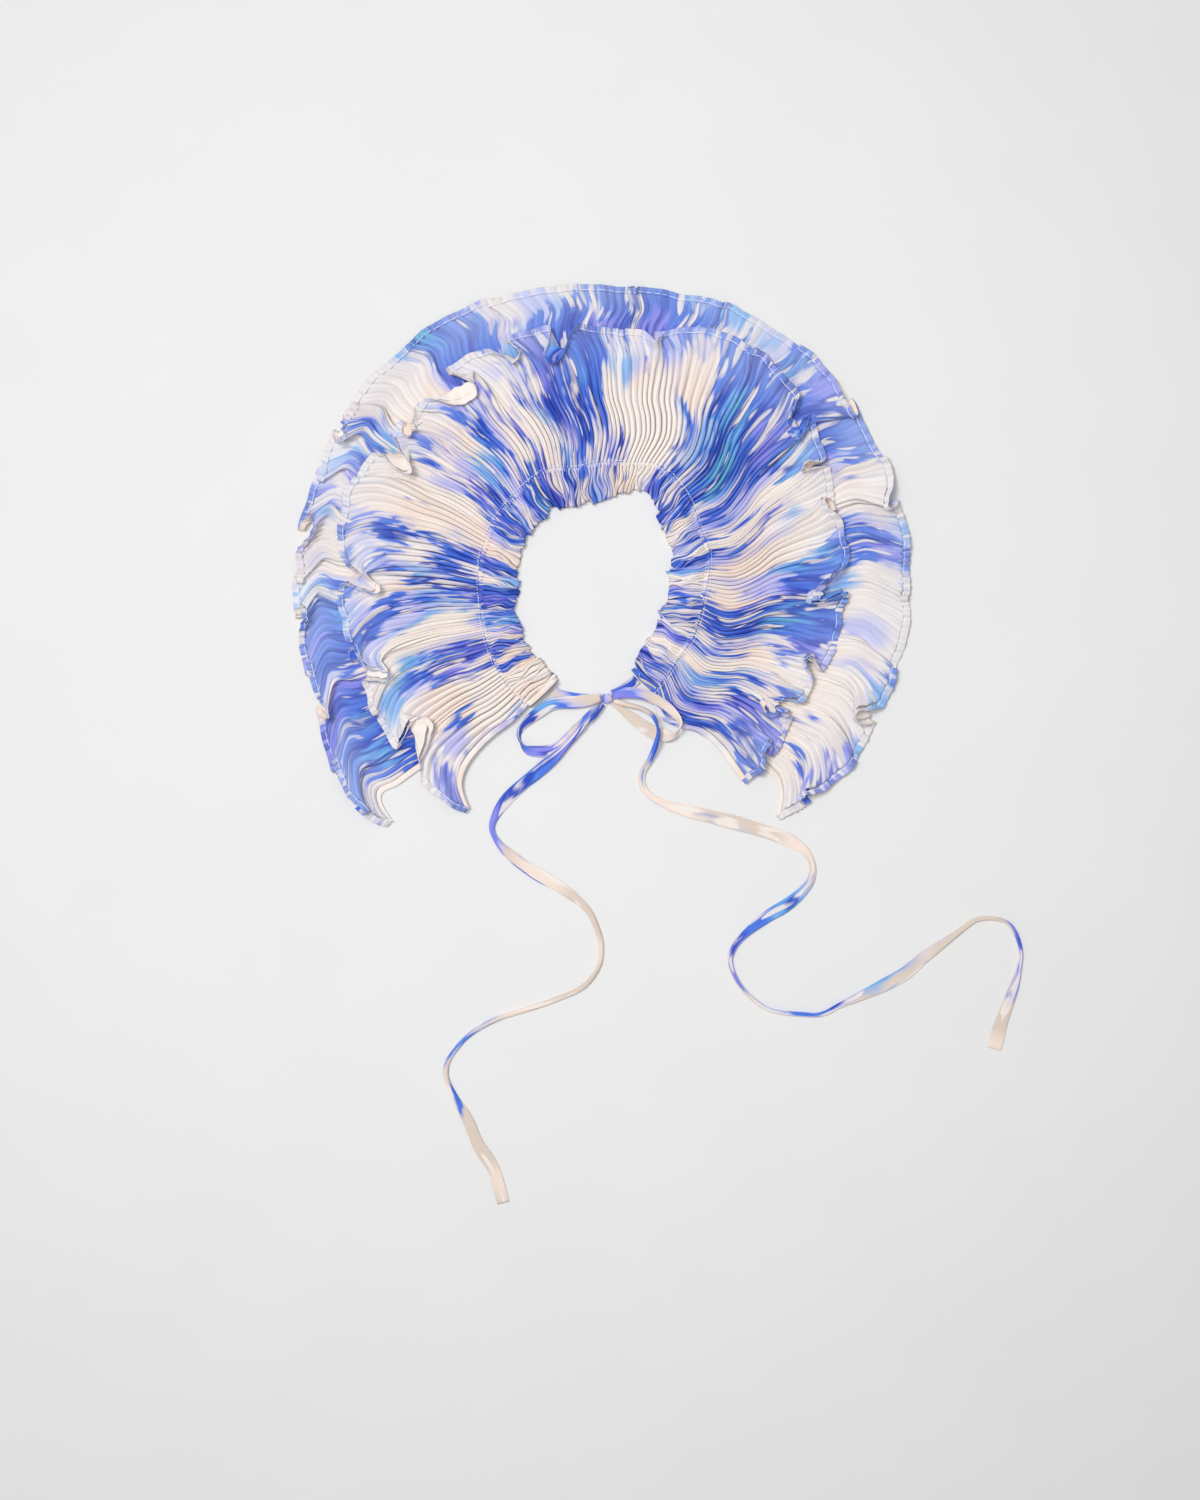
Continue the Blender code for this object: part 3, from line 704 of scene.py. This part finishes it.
# Ruffle folds of the hems: the angle, half the cloth that rolls over in mm, which way it leans
# (1 clockwise, -1 the other way, 0 upright), how steeply it turns in degrees, how far out from
# the stitch line it starts, how far the hem curls back in degrees, and how far it flops outwards
# in mm.
UPPER_FOLDS = (
    (-141.0, 10, -1, 180, 0.40, 0, 2.0), (-129.5, 12, -1, 190, 0.25, 150, -2.0),
    (-120.0, 7, 1, 160, 0.45, 0, 2.0), (-113.5, 10, 1, 185, 0.30, 90, -3.0),
    (-104.5, 12, -1, 190, 0.20, 60, 2.5), (-90.5, 10, 1, 185, 0.30, 140, -2.0),
    (-79.0, 6, 0, 80, 0.50, 0, 1.0), (-70.5, 11, -1, 185, 0.20, 0, 3.0),
    (-61.0, 9, 1, 180, 0.35, 130, -1.5), (-51.5, 11, 1, 190, 0.25, 100, 2.5),
    (-45.0, 6, 1, 150, 0.45, 0, -1.5), (-35.0, 13, -1, 195, 0.30, 165, 3.0),
    (-23.0, 8, -1, 165, 0.50, 110, -1.0), (-13.0, 10, 1, 180, 0.40, 150, 2.0),
    (4.0, 6, 0, 95, 0.45, 0, -1.0), (12.0, 7, -1, 165, 0.50, 60, 1.5),
    (30.0, 7, 1, 160, 0.35, 0, -1.0), (42.5, 8, 1, 170, 0.40, 0, 1.5),
    (52.0, 12, -1, 190, 0.30, 140, 3.0), (59.0, 7, 1, 160, 0.40, 110, -1.5),
    (72.5, 10, 1, 180, 0.25, 60, 2.0), (82.0, 6, 0, 85, 0.50, 0, -1.0),
    (93.0, 13, -1, 190, 0.25, 150, 3.0), (108.5, 10, 1, 180, 0.30, 80, -2.0),
    (118.0, 8, 1, 175, 0.30, 0, 1.5), (127.5, 13, -1, 190, 0.30, 165, 3.0),
    (134.0, 8, 1, 170, 0.40, 40, -2.0), (139.5, 7, -1, 165, 0.45, 0, 2.0),
)
UNDER_FOLDS = (
    (-130.5, 10, 1, 180, 0.56, 40, 2.0), (-122.0, 10, -1, 180, 0.54, 0, -2.0),
    (-111.0, 13, 1, 190, 0.52, 60, 3.0), (-102.0, 10, -1, 180, 0.54, 0, -1.5),
    (-90.0, 11, -1, 180, 0.54, 50, 2.0), (-81.5, 10, 1, 175, 0.54, 0, -2.0),
    (-69.0, 14, -1, 195, 0.49, 70, 3.0), (-60.5, 10, 1, 180, 0.54, 0, -2.0),
    (-53.5, 12, 1, 185, 0.54, 60, 2.5), (-44.0, 14, -1, 195, 0.49, 0, -1.5),
    (-30.0, 6, 0, 85, 0.59, 0, 1.0), (-12.0, 8, 1, 165, 0.59, 0, -1.0),
    (8.0, 8, 1, 170, 0.59, 30, 1.5), (24.0, 6, 0, 85, 0.59, 0, -1.0),
    (39.0, 11, 1, 185, 0.54, 0, 2.0), (51.0, 12, -1, 190, 0.52, 50, 1.0),
    (62.0, 13, 1, 195, 0.49, 0, 3.0), (68.0, 9, -1, 180, 0.52, 55, 1.5),
    (78.0, 10, -1, 180, 0.52, 0, 1.5), (90.0, 7, 0, 90, 0.56, 0, -1.0),
    (101.5, 12, 1, 185, 0.50, 0, 2.5), (112.5, 9, -1, 175, 0.54, 70, -1.5),
    (121.5, 10, 1, 180, 0.54, 0, 2.0), (132.0, 11, -1, 185, 0.54, 50, 2.0),
)


def room_under_upper(reach):
    """The under tier's pleats stay low where the upper tier lies on them, in mm."""
    return 2.3 + 0.6 * ease((reach - 0.8) / 0.2)


upper = Tier(UPPER_HEM, UPPER_ENDS, UPPER_FOLDS, pleats=196, lift=3.5, seed=11)
under = Tier(UNDER_HEM, UNDER_ENDS, UNDER_FOLDS, pleats=222, lift=0.25, seed=47,
             hidden=room_under_upper)


def cloth_places(tier, reach):
    """Cloth coordinates of a grid: along the strip, and down it from the stitch line."""
    down = reach * (tier.depth() - HEM_WIDTH)
    return pairs(tier.cloth[None, :], down[:, None])


# Across the hem: how far past the sheet's edge, and how far raised off it, in mm.
HEM_BAND = np.array((-0.5, 0.3, 1.6, 3.2, 4.2, 4.5))
HEM_PUFF = (0.12, 0.24, 0.26, 0.20, 0.10, 0.0)


def make_tier(name, tier, material, reach):
    """The pleated wall, its turned hem, and its two front edges."""
    points = tier.surface(reach, margin=EDGE_WIDTH + 0.2)
    wall = laid_grid(f"{name}_tier_cloth", points, cloth_places(tier, reach), CLOTH_WALL,
                     material, [f"{name}_tier"], wrong_side=wrong_side_print)
    out = 1 + HEM_BAND / (tier.depth() - HEM_WIDTH)
    hem_points = np.concatenate([
        tier.surface(np.array((0.98, each)), margin=0.8, extra=up)[1:]
        for each, up in zip(out, HEM_PUFF)])
    hem = laid_grid(f"{name}_turned_hem", hem_points, cloth_places(tier, out), 0.46, material,
                    [f"{name}_hem"], wrong_side=wrong_side_print)
    made = [wall, hem]
    for side, sign, column in (("left", 1, LEFT), ("right", -1, RIGHT)):
        end = smooth_rows(tier.ends, column, reach)[:, None]
        inward = np.linspace(0.0, EDGE_WIDTH, 6)[None, ::sign]
        near = smooth_rows(SECTIONS, STITCH, end)
        far = smooth_rows(SECTIONS, tier.hem, end) - HEM_WIDTH
        distance = near + (far - near) * reach[:, None]
        round_top = 0.35 * np.sin(np.pi * inward / EDGE_WIDTH)
        swell = 0.35 * ripple(tier.seed + 5, reach[:, None] * 14.0, sign)
        edge_points = on_table(end + sign * np.degrees(inward / distance), distance,
                               tier.lift + 0.8 + round_top + swell)
        made.append(laid_grid(f"{name}_front_binding_{side}", edge_points,
                              pairs(inward, distance), 0.9, edge_print,
                              [f"{name}_front_edge_{side}"]))
    return made


# %% Make both tiers
# The rows of points lie closer together where the hem curls.
upper_reach = np.concatenate((np.linspace(-0.02, 0.84, 42)[:-1], np.linspace(0.84, 1.0, 20)))
upper_pieces = make_tier("upper", upper, tier_print, upper_reach)
under_reach = np.concatenate((np.linspace(0.0, 0.62, 14)[:-1], np.linspace(0.62, 1.0, 36)))
under_pieces = make_tier("under", under, under_print, under_reach)
for tier, pieces, below in ((upper, upper_pieces, "under_tier"), (under, under_pieces, "table_top")):
    tier.depth() * MM
    print("strip, mm", round(tier.strip), "deep", round(tier.depth()), [each.name for each in pieces])


# %% [markdown]
# Inside the stitch line both strips are drawn up into a channel with a small frill at the neck.
# The pleats run on from the tier, but they bunch and wander.

# %% The gathered casing
CASING_ROWS = 24


def make_casing():
    """The channel and its frill, from the neck edge to the stitch line."""
    reach = np.linspace(0.0, 1.03, CASING_ROWS)
    rows = reach[:, None]
    across = upper.walk(np.array([0.0]))[0]
    left = smooth_rows(CASING_ENDS, LEFT, reach)[:, None]
    right = smooth_rows(CASING_ENDS, RIGHT, reach)[:, None]
    angle = left + (right - left) * across
    near = smooth_rows(SECTIONS, NECK, angle) + 1.3 * ripple(71, angle / 2.2)
    near = near + 0.9 * ripple(72, angle / 0.9)
    curl = upper.each_pleat(np.random.default_rng(79).uniform(-0.9, 0.9, upper.pleats))
    near = near + smoothed(curl[None, :], 2.0)
    far = smooth_rows(SECTIONS, STITCH, angle)
    distance = near + (far - near) * rows
    loose = np.clip(1 - rows, 0.0, 1.0) ** 0.7
    drift = (3.0 * ripple(73, angle / 5.0, rows * 3.0) * loose
             + 1.7 * ripple(74, angle / 1.3, rows * 5.0) * loose ** 0.6
             + 0.8 * ripple(77, angle / 0.6, rows * 9.0) * loose ** 0.5)
    channel = 1.5 * np.sin(np.pi * np.clip((reach - 0.35) / 0.6, 0, 1)) ** 2
    crown = (2.4 + 2.4 * ease(reach / 0.35) + channel)[:, None]
    crown = crown + 0.8 * ripple(75, angle / 3.0, rows * 2.0) * loose
    count = np.arange(upper.columns) % STEPS
    random = np.random.default_rng(78)
    bunched = upper.each_pleat(random.choice((0.25, 0.5, 1.0, 1.25), upper.pleats))[None, :]
    tall = 4.2 * (bunched * loose ** 0.5 + upper.height[None, :] * (1 - loose ** 0.5))
    tall = tall * (1 + 0.25 * ripple(76, across * 70.0, rows * 2.0))
    height = crown + (PLEAT_PROFILE[count][None, :] - 0.4) * tall
    ends = ease(np.minimum(across, 1 - across) * 160.0)
    height = height * (0.55 + 0.45 * ends)
    angle = angle + np.degrees(drift / distance) * ends
    top = on_table(angle, distance, np.maximum(height, 0.5))
    skirt = top[:1].copy()
    skirt[:, :, 2] = 0.3
    skirt[0, :, :2] += unit(skirt[0, :, :2] - NECK_MIDDLE) * 0.8
    points = np.concatenate((skirt, top))
    down = np.concatenate(((-26.0,), -24.0 * (1 - reach)))
    return laid_grid("gathered_neck_casing", points, pairs(upper.cloth[None, :], down[:, None]),
                     0.5, casing_print, ["neck_casing"])


def make_casing_edge():
    """The turned left front edge of the channel, beside the mouth that the tie comes out of."""
    reach = np.linspace(0.04, 1.0, 20)[:, None]
    inward = np.linspace(0.2, EDGE_WIDTH, 6)[None, :]
    turn = smooth_rows(CASING_ENDS, LEFT, reach)
    near, far = smooth_rows(SECTIONS, NECK, turn), smooth_rows(SECTIONS, STITCH, turn)
    distance = near + (far - near) * reach
    height = 6.6 + 1.2 * ease(reach * 3) + 0.5 * np.sin(np.pi * inward / EDGE_WIDTH)
    height = height + 0.3 * ripple(91, reach * 9.0, inward)
    points = on_table(turn + np.degrees(inward / distance), distance, height)
    return laid_grid("casing_front_edge_left", points, pairs(inward, distance), 0.9, plain_print)


casing = make_casing()
casing_edge = make_casing_edge()
print("casing", casing.name, casing_edge.name)

# %% [markdown]
# The tie is a flat tube of the same cloth. Broad stretches lie flat; between them it is folded
# lengthwise or twisted, and looks half as wide. Its route, chosen point by point, is the one that
# its solids follow. Each tail comes down from the bow, and then lies on the table.

# %% Routes of the tie
TIE_WIDTH = 8.4
TAIL_LEFT = (
    (0.2, -104.6), (-5.5, -112.5), (-13.5, -120.5), (-23.0, -131.0), (-35.0, -142.8),
    (-47.5, -153.5), (-57.0, -161.5), (-66.5, -170.5), (-74.0, -181.0), (-77.3, -191.0),
    (-73.0, -201.0), (-62.5, -211.5), (-48.5, -221.5), (-33.0, -230.5), (-20.0, -239.5),
    (-10.0, -249.0), (-4.5, -259.5), (-1.0, -273.0), (-3.0, -288.5), (-13.5, -302.0),
    (-34.0, -311.5), (-55.0, -318.5), (-74.5, -325.0), (-94.0, -336.5), (-107.0, -352.0),
    (-109.5, -364.0), (-103.5, -379.5), (-95.0, -394.0), (-87.0, -412.5), (-76.0, -430.5),
    (-69.5, -453.5),
)
TAIL_LEFT_RAISED = (2.1, 2.0, 2.0, 2.0, 2.0, 0.9, 0.1)
TAIL_RIGHT = (
    (8.2, -102.0), (17.0, -104.6), (27.5, -107.5), (35.5, -113.5), (38.9, -123.2), (37.5, -131.8),
    (33.3, -142.8), (28.5, -151.0), (27.2, -157.5), (29.5, -164.5), (37.0, -171.0),
    (51.5, -177.1), (71.0, -182.0), (90.7, -186.9), (110.3, -192.5), (128.5, -198.8),
    (141.1, -206.5), (146.7, -216.3), (146.0, -226.8), (139.6, -235.9), (129.9, -244.3),
    (115.2, -253.4), (100.5, -264.6), (92.0, -274.4), (89.3, -284.2), (93.5, -296.8),
    (103.3, -309.0), (117.3, -318.5), (138.3, -321.3), (153.0, -321.3), (166.3, -315.0),
    (177.5, -310.1), (194.3, -302.4), (211.1, -293.3), (225.1, -281.4), (238.4, -271.6),
    (252.4, -261.1), (260.8, -255.5), (271.3, -254.1), (282.5, -256.9), (288.8, -264.6),
    (292.3, -277.2), (291.6, -287.7), (288.1, -301.7), (282.5, -317.1), (277.6, -332.5),
    (274.1, -345.8),
)
TAIL_RIGHT_RAISED = (2.3, 3.0, 4.6, 6.6, 6.8, 5.8, 2.2, 0.4)
LOOP_LEFT = (
    (-1.4, -100.7, 4.0), (-9.0, -101.6, 4.0), (-18.0, -102.9, 3.8), (-34.7, -104.2, 3.0),
    (-45.2, -110.6, 2.4), (-53.6, -117.9, 1.8), (-58.1, -124.5, 1.4), (-57.4, -131.6, 1.0),
    (-52.0, -136.6, 0.8), (-43.0, -137.6, 0.8), (-34.7, -136.2, 0.8), (-25.6, -129.6, 0.8),
    (-17.2, -120.2, 0.8), (-9.9, -111.7, 0.8), (-0.4, -103.6, 0.8),
)
LOOP_RIGHT = (
    (7.5, -99.5, 4.3), (15.8, -96.6, 6.2), (27.0, -97.3, 8.6), (37.5, -101.5, 8.9),
    (48.0, -109.2, 8.9), (54.3, -118.0, 8.8), (50.5, -125.4, 7.0), (41.5, -126.0, 3.6),
    (30.0, -121.0, 2.4), (19.5, -113.0, 1.2), (12.5, -107.8, 0.8), (6.9, -103.9, 0.8),
)
STUB_LEFT = (
    (-34.8, -94.5, 1.4), (-31.4, -97.4, 1.4), (-20.0, -99.0, 1.4), (-10.5, -99.4, 1.5),
    (-1.5, -99.2, 1.6),
)
STUB_RIGHT = ((24.1, -86.9, 1.4), (20.6, -90.0, 1.4), (13.5, -94.2, 1.4), (6.7, -97.3, 1.4))

# Along each part: the distance from its start, the share of the full width that shows, how
# thick it lies in mm, and how far it is turned on its side in degrees.
TAIL_LEFT_LIE = (
    (0, 0.42, 2.0, 0), (12, 0.42, 2.2, 160), (24, 0.45, 2.2, 330), (37, 0.55, 2.0, 360),
    (52, 1.0, 0.9, 360), (97, 1.0, 0.8, 360), (122, 0.48, 1.8, 372), (147, 1.0, 0.9, 360),
    (182, 1.0, 0.8, 360), (200, 0.65, 1.4, 350), (224, 0.45, 2.0, 372), (300, 0.42, 2.1, 350),
    (391, 0.45, 2.0, 366), (415, 0.8, 1.2, 360), (440, 1.05, 0.8, 360), (500, 1.0, 0.8, 360),
)
TAIL_RIGHT_LIE = (
    (0, 0.42, 2.0, 0), (30, 0.45, 2.0, 60), (60, 0.5, 1.9, 180), (95, 0.6, 1.7, 180),
    (125, 1.05, 0.9, 180), (195, 1.05, 0.8, 180), (219, 0.5, 1.8, 190), (248, 1.05, 0.9, 180),
    (270, 1.0, 0.8, 180), (302, 0.45, 2.0, 166), (409, 0.45, 2.0, 190), (440, 1.05, 0.9, 180),
    (477, 1.0, 0.8, 180), (511, 0.42, 2.0, 192), (577, 0.45, 1.9, 176), (608, 1.05, 0.8, 180),
    (660, 1.1, 0.8, 180),
)
LOOP_LEFT_LIE = (
    (0, 0.5, 1.8, 0), (10, 0.95, 1.0, 0), (45, 0.95, 0.9, 10), (62, 0.8, 1.2, 40),
    (72, 0.55, 1.3, 90), (82, 0.9, 0.9, 170), (112, 0.9, 0.9, 180), (128, 0.5, 1.6, 190),
    (170, 0.45, 1.6, 360),
)
LOOP_RIGHT_LIE = (
    (0, 0.45, 1.8, 0), (12, 0.9, 1.0, -12), (38, 0.9, 0.9, -20), (55, 0.8, 1.0, -60),
    (63, 0.6, 1.2, -120), (72, 1.0, 0.9, -180), (95, 0.95, 0.9, -180), (112, 0.5, 1.5, -180),
    (125, 0.45, 1.5, -180),
)
STUB_LIE = ((0, 0.85, 1.0, 0), (14, 0.7, 1.2, 10), (40, 0.45, 1.4, 0))


# %% A stretch of tie
def raised(route, heights):
    """A route of points in the plan, with the heights of the first few."""
    return [(*point, height) for point, height in zip_longest(route, heights, fillvalue=0.0)]


def fine_route(points, step=1.6):
    """Evenly spaced points on a smooth curve through a route."""
    points = np.array(points, dtype=float)
    knots = walked_along(points)
    table = np.column_stack((knots, points))
    many = np.linspace(0.0, knots[-1], 1200)
    dense = np.column_stack([smooth_rows(table, k, many) for k in (1, 2, 3)])
    walked = walked_along(dense)
    count = max(int(walked[-1] / step), 8)
    even = np.linspace(0.0, walked[-1], count)
    return np.column_stack([np.interp(even, walked, dense[:, k]) for k in range(3)]), even


AROUND = 16             # points around the tube


def make_tie(name, route, lie, node, seed, on_floor, offset):
    """A flat tube along a route, turned, folded and creased as its table says.

    offset, in mm, is where on the cloth it was cut. Gives the piece, the middle of each of its
    rings, and its length, in metres."""
    path, walked = fine_route(route)
    lie = np.array(lie)
    share = smooth_rows(lie, 1, walked)
    thick = smooth_rows(lie, 2, walked)
    turn = np.radians(smooth_rows(lie, 3, walked))
    half = TIE_WIDTH / 2 * share * (1 + 0.05 * ripple(seed, walked / 6.0))
    forward = unit(np.gradient(path, axis=0))
    side = unit(np.cross(forward, (0.0, 0.0, 1.0)))
    over = np.cross(side, forward)
    around = np.linspace(0.0, 2 * math.pi, AROUND + 1)
    wide = np.sign(np.cos(around)) * np.abs(np.cos(around)) ** 0.55
    tall = np.sign(np.sin(around)) * np.abs(np.sin(around)) ** 0.9
    local_x = wide[None, :] * half[:, None]
    crease = 0.22 * ripple(seed + 1, walked[:, None] / 5.0, wide[None, :] * 2.6)
    crease = crease + 0.5 * (1 - np.clip(share, 0, 1))[:, None] * np.cos(3 * np.pi * wide)[None, :]
    local_y = tall[None, :] * thick[:, None] / 2 + crease * np.abs(tall)[None, :] ** 0.5
    cos, sin = np.cos(turn)[:, None], np.sin(turn)[:, None]
    x = local_x * cos - local_y * sin
    y = local_x * sin + local_y * cos
    if on_floor:
        path[:, 2] = np.maximum(path[:, 2], 0.0) - y.min(axis=1) + 0.05
    points = path[:, None, :] + x[:, :, None] * side[:, None, :] + y[:, :, None] * over[:, None, :]
    points[:, :, 2] = np.maximum(points[:, :, 2], 0.05)
    points[:, -1] = points[:, 0]
    across = np.abs(around / math.pi - 1) * TIE_WIDTH
    cloth = pairs(across[None, :] * 2.2, walked[:, None] * 0.9 + offset)
    made = laid_grid(name, points, cloth, 0.0, tie_print, [node], closed=True)
    middle = points[:, :-1].mean(axis=1) * MM
    return made, [tuple(float(value) for value in point) for point in middle], walked[-1] * MM


# %% Tie the bow
def make_knot():
    """The knot is a small squarish bundle, creased twice where the band crosses it."""
    low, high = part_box("tie_knot")
    bm = bmesh.new()
    bmesh.ops.create_uvsphere(bm, u_segments=40, v_segments=24, radius=0.5)
    size = [high[k] - low[k] for k in range(3)]
    for vert in bm.verts:
        across, along, height = vert.co
        square = 0.5 / max(abs(across) ** 3 + abs(along) ** 3 + abs(height) ** 3, 1e-6) ** (1 / 3)
        lump = 0.88 + 0.07 * math.sin(9 * across + 14 * height) + 0.05 * math.sin(26 * along + 5 * across)
        crease = 0.16 * math.exp(-((across + 0.45 * along - 0.10) / 0.07) ** 2)
        second = 0.12 * math.exp(-((across - 0.30 * along + 0.22) / 0.06) ** 2)
        vert.co = Vector((across, along, height)) * square * (lump - crease - second)
        for k in range(3):
            vert.co[k] = low[k] + size[k] * (0.5 + vert.co[k] * 0.94)
        vert.co.z = max(vert.co.z, 0.0001)
    mesh = mesh_from("bow_knot", bm)
    layer = mesh.uv_layers.new(name="cloth")
    for loop in mesh.loops:
        place = mesh.vertices[loop.vertex_index].co
        layer.data[loop.index].uv = (place.x * 24 + 3.1, place.y * 24 + place.z * 30)
    mesh.shade_smooth()
    mesh.materials.append(knot_print)
    made = add_object("bow_knot", mesh)
    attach(made, "root")
    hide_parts("tie_knot")
    return made


knot = make_knot()
stub_left = make_tie("drawstring_left", STUB_LEFT, STUB_LIE, "tie_stub_left", 81, False, 10.0)
stub_right = make_tie("drawstring_right", STUB_RIGHT, STUB_LIE, "tie_stub_right", 82, False, 55.0)
for name, route, lie, node, seed, offset, extra in (
    ("bow_left", LOOP_LEFT, LOOP_LEFT_LIE, "bow_loop_left", 83, 0.0, [knot, stub_left[0]]),
    ("bow_right", LOOP_RIGHT, LOOP_RIGHT_LIE, "bow_loop_right", 84, 660.0, [stub_right[0]]),
    ("tail_left", raised(TAIL_LEFT, TAIL_LEFT_RAISED), TAIL_LEFT_LIE, "tie_tail_left", 85,
     560.0, []),
    ("tail_right", raised(TAIL_RIGHT, TAIL_RIGHT_RAISED), TAIL_RIGHT_LIE, "tie_tail_right", 86,
     2060.0, []),
):
    tail = not extra
    made, centres, length = make_tie(name, route, lie, node, seed, tail, offset)
    print(name, "length", round(length, 3), "m")

# %% [markdown]
# White topstitching holds the hems and the casing. Each line of it is a narrow strip laid on the
# cloth and cut into dashes, which is lighter than a modelled thread and follows every fold.

# %% Topstitching
STITCH_LENGTH, STITCH_GAP = 2.3, 0.7


def stitch_line(name, middle, outward, width):
    """A row of stitches along points in mm, raised off the cloth."""
    points = np.stack((middle, middle))
    points[0, :, :2] -= outward * width / 2
    points[1, :, :2] += outward * width / 2
    cloth = pairs(walked_along(middle)[None, :], np.array((0.0, 1.0))[:, None])
    made = laid_grid(name, points, cloth, 0.26, thread_white)
    bm = bmesh.new()
    bm.from_mesh(made.data)
    layer = bm.loops.layers.uv["cloth"]
    cut = []
    for face in bm.faces:
        place = sum(loop[layer].uv.x for loop in face.loops) / len(face.loops) * 100.0
        if place % (STITCH_LENGTH + STITCH_GAP) > STITCH_LENGTH:
            cut.append(face)
    bmesh.ops.delete(bm, geom=cut, context="FACES")
    bm.to_mesh(made.data)
    bm.free()
    made.data.shade_flat()
    return made


def tier_stitches(name, tier, reach, width, proud):
    """A row of stitches at one reach of a tier, so wide and so far off the cloth, in mm."""
    step = 0.3 / tier.depth()
    before, row = tier.surface(np.array((reach - step, reach)), margin=0.8, extra=proud)
    outward = (row - before)[:, :2]
    outward /= np.maximum(np.linalg.norm(outward, axis=1, keepdims=True), 0.001)
    return stitch_line(name, row, outward, width)


tier_stitches("upper_hem_stitches", upper, 1.007, 0.36, 0.52)
tier_stitches("under_hem_stitches", under, 1.006, 0.36, 0.52)
tier_stitches("casing_stitches", upper, 0.022, 0.7, 0.42)
